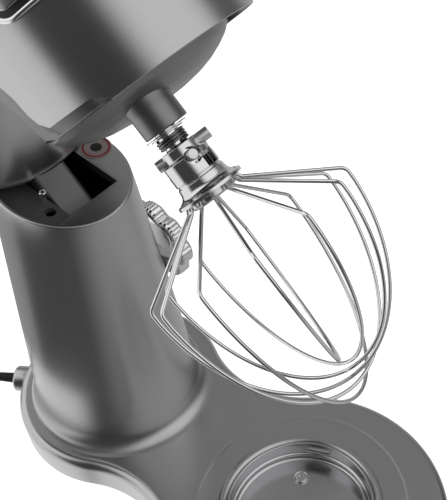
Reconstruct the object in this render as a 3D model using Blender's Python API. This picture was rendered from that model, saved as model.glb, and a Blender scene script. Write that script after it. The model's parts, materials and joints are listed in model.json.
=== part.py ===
"""Tilt-head stand mixer: die-cast base and pillar, raised head with a planetary drive, wire whisk."""
import bpy
import bmesh
import math
from mathutils import Matrix, Vector

MM = 0.001

# ---- driving dimensions, in millimetres --------------------------------------------------
# Everything is laid out in the working frame: X forward, Z up, origin at the centre of the
# bowl seat on the base's top face, with the head lowered.  HEAD_TILT then raises the head.
SEAT_FROM_ORIGIN_X = 111.6
BASE_TOP_HEIGHT = 28.0
HEAD_TILT = 47.0
GAP = 0.3

PIVOT_X, PIVOT_Z = -163.0, 171.0

BASE_FRONT_X, BASE_FRONT_R = 6.0, 95.0
BASE_REAR_X, BASE_REAR_R = -172.0, 74.0
BASE_WAIST_R = 75.0
BASE_BOTTOM_Z = -25.0
BASE_EDGE_R = 9.0
FOOT_R, FOOT_HEIGHT = 9.0, 3.0
SEAT_RECESS_R, SEAT_RECESS_DEPTH = 50.0, 16.5
SEAT_GROOVE_R = 71.0

PILLAR_X, PILLAR_TOP_Z, PILLAR_TOP_SLOPE = -174.0, 204.5, 5.4
PILLAR_TOP_A, PILLAR_TOP_B = 46.0, 39.0
PILLAR_FOOT_A, PILLAR_FOOT_B, PILLAR_FOOT_FLARE = 61.0, 57.0, 11.0
PILLAR_WALL = 4.0
SLOT_FRONT_X, SLOT_FAR_Y = -145.0, 18.5

HINGE_BARREL_R, HINGE_NEAR, HINGE_FAR = 28.8, -14.0, 6.0
HINGE_PIN_R, HINGE_PIN_HALF = 5.0, 39.4

HEAD_R, HEAD_WALL = 57.0, 3.0
HEAD_SPINE_FRONT, HEAD_SPINE_REAR = 15.0, -188.0
HEAD_BOTTOM_Z, HEAD_REAR_BOTTOM_Z = 208.5, 262.0
HEAD_SHOULDER_Z, HEAD_TOP_Z = 308.0, 345.0
# The head casing's lower edge from the drum's corner backwards, as (x, z).
HEAD_EDGE = [(-8.0, 208.5), (-11.0, 228.5), (-25.0, 238.5), (-42.0, 249.0), (-66.0, 257.5), (-95.0, 262.0)]
NECK_X, NECK_R, NECK_RIM_Z = -230.0, 51.0, 207.5

DOME_R, DOME_RIM_Z, DOME_DEPTH = 50.9, 210.5, 13.0
ECCENTRIC, ECCENTRIC_ANGLE = 27.45, -39.4
BOSS_R, BOSS_END_Z = 11.5, 187.8
SHAFT_R, SHAFT_TOP_Z, SHAFT_END_Z = 6.35, 236.0, 155.0
FLANGE_Z, FLANGE_R = 151.0, 17.5
PIN_Z, PIN_R, PIN_HALF = 173.4, 2.6, 14.5

WHISK_WIRES = 6
WIRE_R = 1.0
WHISK_R, WHISK_SHOULDER, WHISK_TIP, WHISK_STEP = 57.0, 28.9, 102.6, 4.0
WHISK_FIRST_ANGLE = -31.4

GEAR_MODULE, GEAR_TEETH, PINION_TEETH = 2.4, 35, 12
GEAR_Z, GEAR_WIDTH = 268.0, 8.0
RING_MODULE, RING_TEETH, PLANET_TEETH = 1.664, 44, 11
RING_Z, RING_WIDTH = 216.0, 10.0
LAYSHAFT_X, LAYSHAFT_Y = -50.0, 26.1
MOTOR_Z = 302.0
MOTOR_X, MOTOR_LENGTH, STATOR_R, ROTOR_R = -160.0, 50.0, 34.0, 19.0
WORM_R, WORM_LENGTH = 7.0, 26.0
WORM_WHEEL_R = LAYSHAFT_Y - WORM_R - GAP

DIAL_ANGLE, DIAL_Z, DIAL_R = -40.0, 283.0, 22.0
PANEL_HALF_ANGLE, PANEL_LOW_Z, PANEL_HIGH_Z, PANEL_THICKNESS = 36.0, 256.0, 306.0, 1.6
LOCK_KNOB_X, LOCK_KNOB_Z, LOCK_KNOB_R, LOCK_KNOB_LOBES = -172.0, 103.0, 30.0, 10

CORD_R = 3.1
CORD_EXIT_ANGLE = 211.0
COIL_MEAN_R, COIL_SECTION_R = 33.0, 7.6

PAINT = ((0.16, 0.16, 0.165), 0.33, 0.75)
STEEL = ((0.62, 0.62, 0.63), 0.22, 1.0)
CHROME = ((0.82, 0.82, 0.83), 0.08, 1.0)
BLACK = ((0.012, 0.012, 0.013), 0.45, 0.0)
DARK = ((0.05, 0.05, 0.053), 0.4, 0.2)
BRASS = ((0.60, 0.42, 0.16), 0.3, 1.0)
COPPER = ((0.55, 0.25, 0.12), 0.35, 1.0)
NYLON = ((0.75, 0.74, 0.70), 0.5, 0.0)
RED = ((0.35, 0.05, 0.04), 0.5, 0.0)


# ---- frames -------------------------------------------------------------------------------
def world(x, y, z):
    """A working-frame point as metres in the object's frame."""
    return Vector(((x + SEAT_FROM_ORIGIN_X) * MM, y * MM, (z + BASE_TOP_HEIGHT) * MM))


def clear_scene():
    for item in list(bpy.data.objects):
        bpy.data.objects.remove(item, do_unlink=True)


def head_empty():
    """The hinge axis: everything on the head hangs from it, tilted up by HEAD_TILT."""
    empty = bpy.data.objects.new("head_tilt_axis", None)
    bpy.context.scene.collection.objects.link(empty)
    empty.location = world(PIVOT_X, 0.0, PIVOT_Z)
    empty.rotation_euler = (0.0, -math.radians(HEAD_TILT), 0.0)
    return empty


MATERIALS = {}


def material(name, look):
    if name not in MATERIALS:
        color, roughness, metallic = look
        made = bpy.data.materials.new(name)
        made.use_nodes = True
        shader = made.node_tree.nodes["Principled BSDF"]
        shader.inputs["Base Color"].default_value = (*color, 1.0)
        shader.inputs["Roughness"].default_value = roughness
        shader.inputs["Metallic"].default_value = metallic
        MATERIALS[name] = made
    return MATERIALS[name]


def add(name, mesh_data, look, origin, head=None):
    """Link a mesh whose points are millimetres from origin, a working-frame point."""
    mesh = bpy.data.meshes.new(name)
    bmesh.ops.recalc_face_normals(mesh_data, faces=mesh_data.faces)
    if mesh_data.calc_volume(signed=True) < 0.0:
        bmesh.ops.reverse_faces(mesh_data, faces=mesh_data.faces)
    bmesh.ops.scale(mesh_data, vec=(MM, MM, MM), verts=mesh_data.verts)
    mesh_data.to_mesh(mesh)
    mesh_data.free()
    mesh.shade_smooth()
    mesh.set_sharp_from_angle(angle=math.radians(35.0))
    mesh.materials.append(material(name + "_finish", look))
    item = bpy.data.objects.new(name, mesh)
    bpy.context.scene.collection.objects.link(item)
    if head is None:
        item.location = world(*origin)
    else:
        item.parent = head
        item.location = world(*origin) - world(PIVOT_X, 0.0, PIVOT_Z)
    return item


# ---- solids -------------------------------------------------------------------------------
AXIS_TURN = {"Z": Matrix.Identity(3),
             "X": Matrix.Rotation(math.radians(90.0), 3, "Y"),
             "Y": Matrix.Rotation(math.radians(-90.0), 3, "X")}


def polar(radius, angle):
    return radius * math.cos(angle), radius * math.sin(angle)


def lathe(profile, segments=32, axis="Z"):
    """Turn (radius, height) points about an axis.  A profile off the axis makes a ring."""
    data = bmesh.new()
    turn = AXIS_TURN[axis]
    rows = []
    for radius, height in profile:
        count = 1 if radius < 1e-6 else segments
        row = []
        for i in range(count):
            x, y = polar(radius, 2.0 * math.pi * i / segments)
            row.append(data.verts.new(turn @ Vector((x, y, height))))
        rows.append(row)
    closed = len(rows[0]) > 1
    pairs = list(zip(rows, rows[1:] + rows[:1])) if closed else list(zip(rows, rows[1:]))
    for low, high in pairs:
        for i in range(segments):
            j = (i + 1) % segments
            ring = [low[i % len(low)], low[j % len(low)], high[j % len(high)], high[i % len(high)]]
            face = list(dict.fromkeys(ring))
            data.faces.new(face)
    return data


def rod(radius, low, high, segments=24, axis="Z"):
    return lathe([(0.0, low), (radius, low), (radius, high), (0.0, high)], segments, axis)


def ring(inner, outer, low, high, segments=32, axis="Z"):
    return lathe([(inner, low), (outer, low), (outer, high), (inner, high)], segments, axis)


def loft(sections, closed=False):
    """Skin equal-length loops.  The ends are capped, or joined to each other when closed."""
    data = bmesh.new()
    rows = [[data.verts.new(point) for point in section] for section in sections]
    count = len(rows[0])
    pairs = list(zip(rows, rows[1:] + rows[:1])) if closed else list(zip(rows, rows[1:]))
    for low, high in pairs:
        for i in range(count):
            j = (i + 1) % count
            data.faces.new([low[i], low[j], high[j], high[i]])
    if not closed:
        caps = [data.faces.new(rows[0]), data.faces.new(rows[-1])]
        bmesh.ops.triangulate(data, faces=caps)
    return data


def block(low, high):
    corners = [(low[0], low[1]), (high[0], low[1]), (high[0], high[1]), (low[0], high[1])]
    return loft([[Vector((x, y, z)) for x, y in corners] for z in (low[2], high[2])])


def cut(item, mesh_data, origin, head=None, operation="DIFFERENCE"):
    """Apply one exact Boolean with a hidden helper, then drop the helper."""
    helper = add(item.name + "_cutter", mesh_data, DARK, origin, head)
    helper.hide_render = True
    helper.display_type = "WIRE"
    boolean = item.modifiers.new("cut", "BOOLEAN")
    boolean.operation = operation
    boolean.solver = "EXACT"
    boolean.object = helper
    bpy.context.view_layer.update()
    graph = bpy.context.evaluated_depsgraph_get()
    result = bpy.data.meshes.new_from_object(item.evaluated_get(graph))
    item.modifiers.clear()
    item.data = result
    while len(item.data.materials) > 1:
        item.data.materials.pop()
    bpy.data.objects.remove(helper, do_unlink=True)
    return item


def gear_outline(teeth, module, inward=False):
    """A trapezoid-toothed loop: four points a tooth, with backlash for a free mesh."""
    pitch = teeth * module / 2.0
    tip, root = pitch + 0.85 * module, pitch - 1.1 * module
    if inward:
        tip, root = pitch - 0.85 * module, pitch + 1.1 * module
    points = []
    for i in range(teeth):
        middle = 2.0 * math.pi * i / teeth
        tooth = 2.0 * math.pi / teeth
        for offset, radius in ((-0.30, root), (-0.11, tip), (0.11, tip), (0.30, root)):
            points.append(polar(radius, middle + offset * tooth))
    return points


def gear(teeth, module, bore, low, high, phase=0.0, inward=False):
    """A spur gear with a round bore, or a ring gear with a round rim when inward."""
    toothed = [Vector((x, y, 0.0)) for x, y in gear_outline(teeth, module, inward)]
    turn = Matrix.Rotation(phase, 3, "Z")
    toothed = [turn @ point for point in toothed]
    plain = [point.normalized() * bore for point in toothed]
    sections = []
    for loop, height in ((toothed, low), (toothed, high), (plain, high), (plain, low)):
        sections.append([Vector((point.x, point.y, height)) for point in loop])
    return loft(sections, closed=True)


# ---- base ---------------------------------------------------------------------------------
def arc(center, radius, start, end, steps):
    points = []
    for i in range(steps):
        x, y = polar(radius, start + (end - start) * i / steps)
        points.append((center[0] + x, center[1] + y))
    return points


def base_outline(inset):
    """Plan of the base: a front disc and a rear disc joined by two waist arcs."""
    front, rear, waist = BASE_FRONT_R - inset, BASE_REAR_R - inset, BASE_WAIST_R + inset
    span = BASE_FRONT_X - BASE_REAR_X
    to_front, to_rear = front + waist, rear + waist
    along = (span * span + to_front * to_front - to_rear * to_rear) / (2.0 * span)
    waist_y = math.sqrt(to_front * to_front - along * along)
    waist_x = BASE_FRONT_X - along
    front_turn = math.atan2(waist_y, -along)
    rear_turn = math.atan2(waist_y, span - along)
    points = arc((BASE_FRONT_X, 0.0), front, -front_turn, front_turn, 26)
    points += arc((waist_x, waist_y), waist, front_turn - math.pi, rear_turn - math.pi, 5)
    points += arc((BASE_REAR_X, 0.0), rear, rear_turn, 2.0 * math.pi - rear_turn, 20)
    points += arc((waist_x, -waist_y), waist, math.pi - rear_turn, math.pi - front_turn, 5)
    return points


def base_section(inset, height):
    return [Vector((x, y, height)) for x, y in base_outline(inset)]


def make_base():
    levels = [(1.5, BASE_BOTTOM_Z), (0.0, BASE_BOTTOM_Z + 2.0)]
    for i in range(5):
        angle = math.pi / 2.0 * i / 4
        inset = BASE_EDGE_R * (1.0 - math.cos(angle))
        levels.append((inset, BASE_EDGE_R * (math.sin(angle) - 1.0)))
    casting = add("base_casting", loft([base_section(*level) for level in levels]), PAINT,
                  (0.0, 0.0, 0.0))
    hollow = loft([base_section(6.0, BASE_BOTTOM_Z - 5.0), base_section(6.0, -9.0),
                   base_section(12.0, -5.0)])
    cut(casting, hollow, (0.0, 0.0, 0.0))
    seat_block = rod(SEAT_RECESS_R + 6.0, BASE_BOTTOM_Z + 2.5, -2.0, 36)
    cut(casting, seat_block, (0.0, 0.0, 0.0), operation="UNION")
    cut(casting, rod(SEAT_RECESS_R, -SEAT_RECESS_DEPTH, 10.0, 36), (0.0, 0.0, 0.0))
    cut(casting, ring(SEAT_GROOVE_R - 0.8, SEAT_GROOVE_R + 0.8, -0.8, 5.0, 40), (0.0, 0.0, 0.0))
    cover = loft([base_section(6.0 + GAP, BASE_BOTTOM_Z), base_section(6.0 + GAP, BASE_BOTTOM_Z + 2.0)])
    add("base_bottom_cover", cover, BLACK, (0.0, 0.0, 0.0))
    feet = [(72.0, 0.0), (20.0, 72.0), (20.0, -72.0), (-190.0, 48.0), (-190.0, -48.0)]
    for number, (x, y) in enumerate(feet, start=1):
        foot = lathe([(0.0, -FOOT_HEIGHT), (FOOT_R - 1.0, -FOOT_HEIGHT), (FOOT_R, -FOOT_HEIGHT + 1.0),
                      (FOOT_R, -GAP), (0.0, -GAP)], 24)
        add("rubber_foot_%d" % number, foot, BLACK, (x, y, BASE_BOTTOM_Z))


def make_bowl_seat():
    """The pressed steel twist-lock cup in the recess, its lugs and its three screws."""
    floor, outer = -SEAT_RECESS_DEPTH + GAP, SEAT_RECESS_R - GAP
    profile = [(0.0, floor), (outer, floor), (outer, 0.6), (outer - 2.2, 0.6),
               (outer - 2.2, -9.0), (outer - 4.0, -9.0), (outer - 4.0, floor + 1.6), (0.0, floor + 1.6)]
    plate = add("bowl_lock_plate", lathe(profile, 36), STEEL, (0.0, 0.0, 0.0))
    for number in range(3):
        angle = math.radians(114.0 + 120.0 * number)
        lug = block((-7.0, -2.6, -1.2), (7.0, 0.6, 0.4))
        x, y = polar(outer - 1.2, angle)
        lug.transform(Matrix.Translation((x, y, -2.2)) @ Matrix.Rotation(angle - math.pi / 2.0, 4, "Z"))
        cut(plate, lug, (0.0, 0.0, 0.0), operation="UNION")
    for number in range(3):
        angle = math.radians(130.0 + 120.0 * number)
        x, y = polar(30.0, angle)
        cut(plate, rod(5.0, 0.3, 4.0, 24), (x, y, floor))
        screw = lathe([(0.0, 0.0), (4.6, 0.0), (4.6, 0.5), (3.8, 0.9), (1.6, 0.9), (1.6, 0.3), (0.0, 0.3)], 24)
        add("seat_screw_%d" % (number + 1), screw, STEEL, (x, y, floor + 0.3 + GAP))


# ---- pillar -------------------------------------------------------------------------------
def pillar_top(x):
    return PILLAR_TOP_Z - math.tan(math.radians(PILLAR_TOP_SLOPE)) * (x - PILLAR_X)


def pillar_section(share, wall, flare=0.0):
    """An oval at share of the way up (0 foot, 1 top); the top one follows the sloping rim.

    The foot's flare is widest in front and narrow behind, where the base ends.
    """
    half_x = PILLAR_FOOT_A + (PILLAR_TOP_A - PILLAR_FOOT_A) * share - wall
    half_y = PILLAR_FOOT_B + (PILLAR_TOP_B - PILLAR_FOOT_B) * share - wall
    points = []
    for i in range(32):
        across, along = polar(1.0, 2.0 * math.pi * i / 32)
        spread = flare * PILLAR_FOOT_FLARE * (0.62 + 0.38 * across)
        x = PILLAR_X + (half_x + spread) * across
        height = GAP + (pillar_top(x) - GAP) * share
        points.append(Vector((x, (half_y + spread) * along, height)))
    return points


def pillar_slab(drop_low, drop_high):
    """A slice of the pillar's mouth between two depths under the sloping rim."""
    sections = []
    for drop in (drop_low, drop_high):
        section = pillar_section(1.0, PILLAR_WALL + GAP)
        sections.append([point - Vector((0.0, 0.0, drop)) for point in section])
    return loft(sections)


def make_pillar():
    foot_flare = [(0.0, 1.0), (0.012, 0.6), (0.03, 0.27), (0.06, 0.07)]
    outer = [pillar_section(share, 0.0, flare) for share, flare in foot_flare]
    outer += [pillar_section(share, 0.0) for share in (0.1, 0.35, 0.65, 0.985)]
    outer.append(pillar_section(1.0, 0.8))
    casting = add("pillar_casting", loft(outer), PAINT, (0.0, 0.0, 0.0))
    inner = [pillar_section(share, PILLAR_WALL) for share in (-0.02, 0.5, 1.04)]
    cut(casting, loft(inner), (0.0, 0.0, 0.0))
    knob_hole = rod(6.3, 20.0, 70.0, 23, "Y")
    cut(casting, knob_hole, (LOCK_KNOB_X, 0.0, LOCK_KNOB_Z))
    pin_hole = rod(HINGE_PIN_R + GAP, -HINGE_PIN_HALF - GAP, HINGE_PIN_HALF + GAP, 21, "Y")
    cut(casting, pin_hole, (PIVOT_X, 0.0, PIVOT_Z))

    plate = add("pillar_top_plate", pillar_slab(5.0, 0.0), PAINT, (0.0, 0.0, 0.0))
    slot = block((-240.0, -60.0, 150.0), (SLOT_FRONT_X, SLOT_FAR_Y, 260.0))
    cut(plate, slot, (0.0, 0.0, 0.0))
    well_plate = add("hinge_well_plate", pillar_slab(11.0, 7.0), BLACK, (0.0, 0.0, 0.0))
    cut(well_plate, block((-240.0, HINGE_NEAR - 1.5, 150.0), (-100.0, 60.0, 260.0)),
        (0.0, 0.0, 0.0))
    cut(well_plate, block((SLOT_FRONT_X - GAP, -60.0, 150.0), (-100.0, 60.0, 260.0)), (0.0, 0.0, 0.0))
    cut(well_plate, rod(3.2, -30.0, 30.0, 20), (-160.0, -21.0, 196.0))
    label = lathe([(0.0, 0.0), (8.2, 0.0), (8.2, 0.35), (0.0, 0.35)], 24)
    label.transform(Matrix.Rotation(math.radians(PILLAR_TOP_SLOPE), 4, "Y"))
    add("caution_disc", label, RED, (-175.0, 29.5, pillar_top(-175.0) + 0.35))


def make_hinge():
    """The pin runs through the head's barrel into blind holes in the pillar's walls."""
    pin = rod(HINGE_PIN_R, -HINGE_PIN_HALF, HINGE_PIN_HALF, 24, "Y")
    add("hinge_pin", pin, STEEL, (PIVOT_X, 0.0, PIVOT_Z))
    stud = lathe([(0.0, 0.0), (1.9, 0.0), (1.9, 8.0), (1.2, 9.2), (0.0, 9.2)], 16)
    add("detent_pin", stud, CHROME, (-170.0, -18.5, pillar_top(-170.0) - 6.6))


def make_lock():
    """The scalloped knob on the pillar's far side turns a cam that blocks the arm's tail."""
    points = []
    steps = LOCK_KNOB_LOBES * 6
    for i in range(steps):
        angle = 2.0 * math.pi * i / steps
        radius = LOCK_KNOB_R - 1.3 + 1.3 * math.cos(LOCK_KNOB_LOBES * angle)
        points.append(polar(radius, angle))
    sections = []
    for scale, depth in ((0.80, 52.0), (0.97, 53.5), (1.0, 55.0), (1.0, 63.0), (0.95, 65.0)):
        sections.append([Vector((x * scale, depth, z * scale)) for x, z in points])
    knob = add("lock_knob", loft(sections), CHROME, (LOCK_KNOB_X, 0.0, LOCK_KNOB_Z))
    cut(knob, rod(5.8, 28.0 + GAP, 54.0, 20, "Y"), (LOCK_KNOB_X, 0.0, LOCK_KNOB_Z), operation="UNION")
    cam_sections = []
    for depth in (4.0, 28.0):
        loop = []
        for i in range(24):
            x, z = polar(1.0, 2.0 * math.pi * i / 24)
            loop.append(Vector((10.0 * x + 12.0 * max(x, 0.0), depth, 10.0 * z)))
        cam_sections.append(loop)
    add("lock_cam", loft(cam_sections), STEEL, (LOCK_KNOB_X, 0.0, LOCK_KNOB_Z))


# ---- head ---------------------------------------------------------------------------------
def head_bottom(x):
    """Height of the head casing's lower edge: low round the drum, stepping up behind it."""
    corners = HEAD_EDGE
    for (x0, z0), (x1, z1) in zip(corners, corners[1:]):
        if x >= x1:
            return z0 + (z1 - z0) * min(max((x0 - x) / (x0 - x1), 0.0), 1.0)
    return HEAD_REAR_BOTTOM_Z


def head_plan():
    """(spine x, direction) pairs round the stadium plan, starting at the near side's rear."""
    plan = []
    turn = 14
    along = [x for x, _ in reversed(HEAD_EDGE)]
    along = [HEAD_SPINE_REAR, -150.0, -118.0] + along
    for x in along:
        plan.append((x, -math.pi / 2.0))
    for i in range(turn):
        plan.append((HEAD_SPINE_FRONT, -math.pi / 2.0 + math.pi * i / turn))
    for x in [HEAD_SPINE_FRONT] + along[:0:-1]:
        plan.append((x, math.pi / 2.0))
    for i in range(turn):
        plan.append((HEAD_SPINE_REAR, math.pi / 2.0 + math.pi * i / turn))
    return plan


def make_head_casing(head):
    data = bmesh.new()
    rows = []
    rounds = 5
    for level in range(rounds + 3):
        row = []
        for spine, angle in head_plan():
            x, y = polar(HEAD_R, angle)
            low = head_bottom(spine + x)
            if level < 3:
                height, scale = low + (HEAD_SHOULDER_Z - low) * level / 2.0, 1.0
            else:
                turn = math.pi / 2.0 * (level - 2) / rounds
                height = HEAD_SHOULDER_Z + (HEAD_TOP_Z - HEAD_SHOULDER_Z) * math.sin(turn)
                scale = math.cos(turn) ** 0.8
            row.append(data.verts.new((spine + x * scale, y * scale, height)))
        rows.append(row)
    count = len(rows[0])
    for low, high in zip(rows, rows[1:]):
        for i in range(count):
            j = (i + 1) % count
            data.faces.new([low[i], low[j], high[j], high[i]])
    bmesh.ops.remove_doubles(data, verts=data.verts, dist=0.001)
    casing = add("head_casing", data, PAINT, (0.0, 0.0, 0.0), head)
    shell = casing.modifiers.new("wall", "SOLIDIFY")
    shell.thickness = HEAD_WALL * MM
    shell.offset = -1.0
    angle = math.radians(DIAL_ANGLE)
    hole = rod(DIAL_R + GAP, -20.0, 20.0, 32)
    hole.transform(Matrix.Rotation(angle, 4, "Z") @ Matrix.Rotation(math.pi / 2.0, 4, "Y"))
    cut(casing, hole, dial_center(), head)


def dial_center():
    x, y = polar(HEAD_R, math.radians(DIAL_ANGLE))
    return HEAD_SPINE_FRONT + x, y, DIAL_Z


def make_dial(head):
    """The speed dial in a curved panel that wraps the drum's near front."""
    turn = Matrix.Rotation(math.radians(DIAL_ANGLE), 4, "Z") @ Matrix.Rotation(math.pi / 2.0, 4, "Y")
    inner, outer = HEAD_R + GAP, HEAD_R + GAP + PANEL_THICKNESS
    sections = []
    steps = 16
    for i in range(steps + 1):
        angle = math.radians(DIAL_ANGLE - PANEL_HALF_ANGLE + 2.0 * PANEL_HALF_ANGLE * i / steps)
        corners = ((inner, PANEL_LOW_Z), (outer, PANEL_LOW_Z), (outer, PANEL_HIGH_Z), (inner, PANEL_HIGH_Z))
        sections.append([Vector((*polar(radius, angle), z)) for radius, z in corners])
    panel = add("dial_panel", loft(sections), CHROME, (HEAD_SPINE_FRONT, 0.0, 0.0), head)
    hole = rod(DIAL_R, -20.0, 20.0, 28)
    hole.transform(turn)
    cut(panel, hole, dial_center(), head)
    socket = rod(DIAL_R - GAP, -14.0, -8.0, 28)
    socket.transform(turn)
    add("dial_socket", socket, BLACK, dial_center(), head)
    dial = lathe([(0.0, -7.6), (DIAL_R - 1.5, -7.6), (DIAL_R - 1.5, 5.0), (DIAL_R - 3.0, 6.6),
                  (0.0, 6.6)], 28)
    dial.transform(turn)
    add("speed_dial", dial, PAINT, dial_center(), head)


def make_neck(head):
    """The round skirt under the head's rear; it stands square on the pillar's top when raised."""
    profile = [(NECK_R - 3.0, 0.6), (NECK_R - 0.8, 0.0), (NECK_R, 0.8), (NECK_R + 1.2, 18.0),
               (NECK_R - 1.0, 36.0), (NECK_R - 7.0, 52.0), (NECK_R - 10.0, 52.0), (NECK_R - 4.5, 36.0),
               (NECK_R - 2.2, 18.0)]
    skirt = lathe(profile, 36)
    raised = Matrix.Rotation(math.radians(HEAD_TILT), 4, "Y")
    offset = Vector((NECK_X - PIVOT_X, 0.0, NECK_RIM_Z - PIVOT_Z))
    skirt.transform(raised @ Matrix.Translation(offset))
    neck = add("neck_skirt", skirt, PAINT, (PIVOT_X, 0.0, PIVOT_Z), head)
    above = block((-300.0, -90.0, HEAD_REAR_BOTTOM_Z + 4.0), (0.0, 90.0, 400.0))
    cut(neck, above, (0.0, 0.0, 0.0), head)


def make_hinge_arm(head):
    """The head's hinge barrel and the arm that carries the chassis."""
    barrel = ring(HINGE_PIN_R + 0.05, HINGE_BARREL_R, HINGE_NEAR, HINGE_FAR, 32, "Y")
    arm = add("hinge_arm", barrel, PAINT, (PIVOT_X, 0.0, PIVOT_Z), head)
    post = block((-6.0, HINGE_NEAR + 0.8, 22.0), (10.5, HINGE_FAR - 0.8, 94.0))
    cut(arm, post, (PIVOT_X, 0.0, PIVOT_Z), head, "UNION")
    tail = block((-12.0, HINGE_NEAR + 4.0, -38.0), (3.0, HINGE_FAR - 1.0, -20.0))
    cut(arm, tail, (PIVOT_X, 0.0, PIVOT_Z), head, "UNION")


def make_chassis(head):
    """The floor of the head: it closes the casing behind the drum and carries the motor."""
    floor = HEAD_REAR_BOTTOM_Z + 2.0
    chassis = block((-138.0, -51.0, floor), (-4.0, 51.0, floor + 3.0))
    plate = add("head_floor", chassis, DARK, (0.0, 0.0, 0.0), head)
    bite = rod(NECK_R + 2.5, 20.0, 120.0, 36)
    raised = Matrix.Rotation(math.radians(HEAD_TILT), 4, "Y")
    bite.transform(raised @ Matrix.Translation((NECK_X - PIVOT_X, 0.0, 0.0)))
    cut(plate, bite, (PIVOT_X, 0.0, PIVOT_Z), head)
    cut(plate, rod(HEAD_R - HEAD_WALL - 2.0, 200.0, 300.0, 36), (0.0, 0.0, 0.0), head)
    cut(plate, rod(4.3, 200.0, 300.0, 24), (LAYSHAFT_X, LAYSHAFT_Y, 0.0), head)
    case_r = HEAD_R - HEAD_WALL - GAP - 0.2
    top = HEAD_REAR_BOTTOM_Z - 2.5
    plate = lathe([(11.2, 230.0), (case_r - 3.0, 230.0), (case_r - 3.0, 213.0), (case_r, 213.0),
                   (case_r, top), (case_r - 3.0, top), (case_r - 3.0, 234.0), (11.2, 234.0)], 36)
    add("gear_case", plate, PAINT, (0.0, 0.0, 0.0), head)
    add("center_bearing", ring(6.08, 10.9, 228.0, 237.0, 24), STEEL, (0.0, 0.0, 0.0), head)


def make_motor(head):
    rear, front = MOTOR_X - MOTOR_LENGTH / 2.0, MOTOR_X + MOTOR_LENGTH / 2.0
    add("motor_stator", ring(ROTOR_R + 1.5, STATOR_R, rear, front, 28, "X"), DARK, (0.0, 0.0, MOTOR_Z), head)
    shaft = lathe([(0.0, rear - 26.0), (4.0, rear - 26.0), (4.0, rear + 4.0), (ROTOR_R, rear + 4.0),
                   (ROTOR_R, front - 4.0), (4.0, front - 4.0), (4.0, LAYSHAFT_X - 18.0),
                   (WORM_R, LAYSHAFT_X - 13.0), (WORM_R, LAYSHAFT_X + 13.0), (3.0, LAYSHAFT_X + 16.0),
                   (0.0, LAYSHAFT_X + 16.0)], 20, "X")
    add("motor_rotor", shaft, COPPER, (0.0, 0.0, MOTOR_Z), head)
    for name, x in (("rear", rear - 12.0), ("front", front + 14.0)):
        add("motor_bearing_" + name, ring(4.05, 10.0, x - 3.5, x + 3.5, 24, "X"), STEEL,
            (0.0, 0.0, MOTOR_Z), head)
    fan = ring(4.05, 8.0, -4.0, 4.0, 24, "X")
    cooling = add("cooling_fan", fan, NYLON, (rear - 26.0 + 4.6, 0.0, MOTOR_Z), head)
    for number in range(7):
        blade = block((-3.0, 7.0, -0.9), (3.0, 29.0, 0.9))
        blade.transform(Matrix.Rotation(2.0 * math.pi * number / 7, 4, "X"))
        cut(cooling, blade, (rear - 26.0 + 4.6, 0.0, MOTOR_Z), head, "UNION")


def make_gear_train(head):
    """Worm to layshaft, layshaft pinion to the main gear on the planetary's centre shaft."""
    lay = (LAYSHAFT_X, LAYSHAFT_Y, 0.0)
    wheel = ring(4.3, WORM_WHEEL_R, MOTOR_Z - 6.0, MOTOR_Z + 6.0, 28)
    add("worm_wheel", wheel, NYLON, lay, head)
    pinion_pitch = PINION_TEETH * GEAR_MODULE / 2.0
    line = math.atan2(-LAYSHAFT_Y, -LAYSHAFT_X)
    pinion_phase = line + math.pi / PINION_TEETH
    pinion = gear(PINION_TEETH, GEAR_MODULE, 3.0, GEAR_Z, GEAR_Z + GEAR_WIDTH, pinion_phase)
    layshaft = add("layshaft_pinion", pinion, STEEL, lay, head)
    shaft = rod(4.0, GEAR_Z - 4.0, MOTOR_Z + 10.0, 24)
    cut(layshaft, shaft, lay, head, "UNION")
    assert abs(math.hypot(LAYSHAFT_X, LAYSHAFT_Y) - pinion_pitch - GEAR_TEETH * GEAR_MODULE / 2.0) < 0.1

    main_phase = math.atan2(LAYSHAFT_Y, LAYSHAFT_X)
    main = gear(GEAR_TEETH, GEAR_MODULE, 6.3, GEAR_Z, GEAR_Z + GEAR_WIDTH, main_phase)
    add("main_gear", main, STEEL, (0.0, 0.0, 0.0), head)
    add("center_shaft", rod(6.0, 219.0, GEAR_Z + GEAR_WIDTH + 4.0, 24), STEEL, (0.0, 0.0, 0.0), head)

    ring_phase = math.radians(ECCENTRIC_ANGLE)
    inner = gear(RING_TEETH, RING_MODULE, 48.5, RING_Z, RING_Z + RING_WIDTH, ring_phase, inward=True)
    add("ring_gear", inner, STEEL, (0.0, 0.0, 0.0), head)


def eccentric():
    return polar(ECCENTRIC, math.radians(ECCENTRIC_ANGLE))


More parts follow.
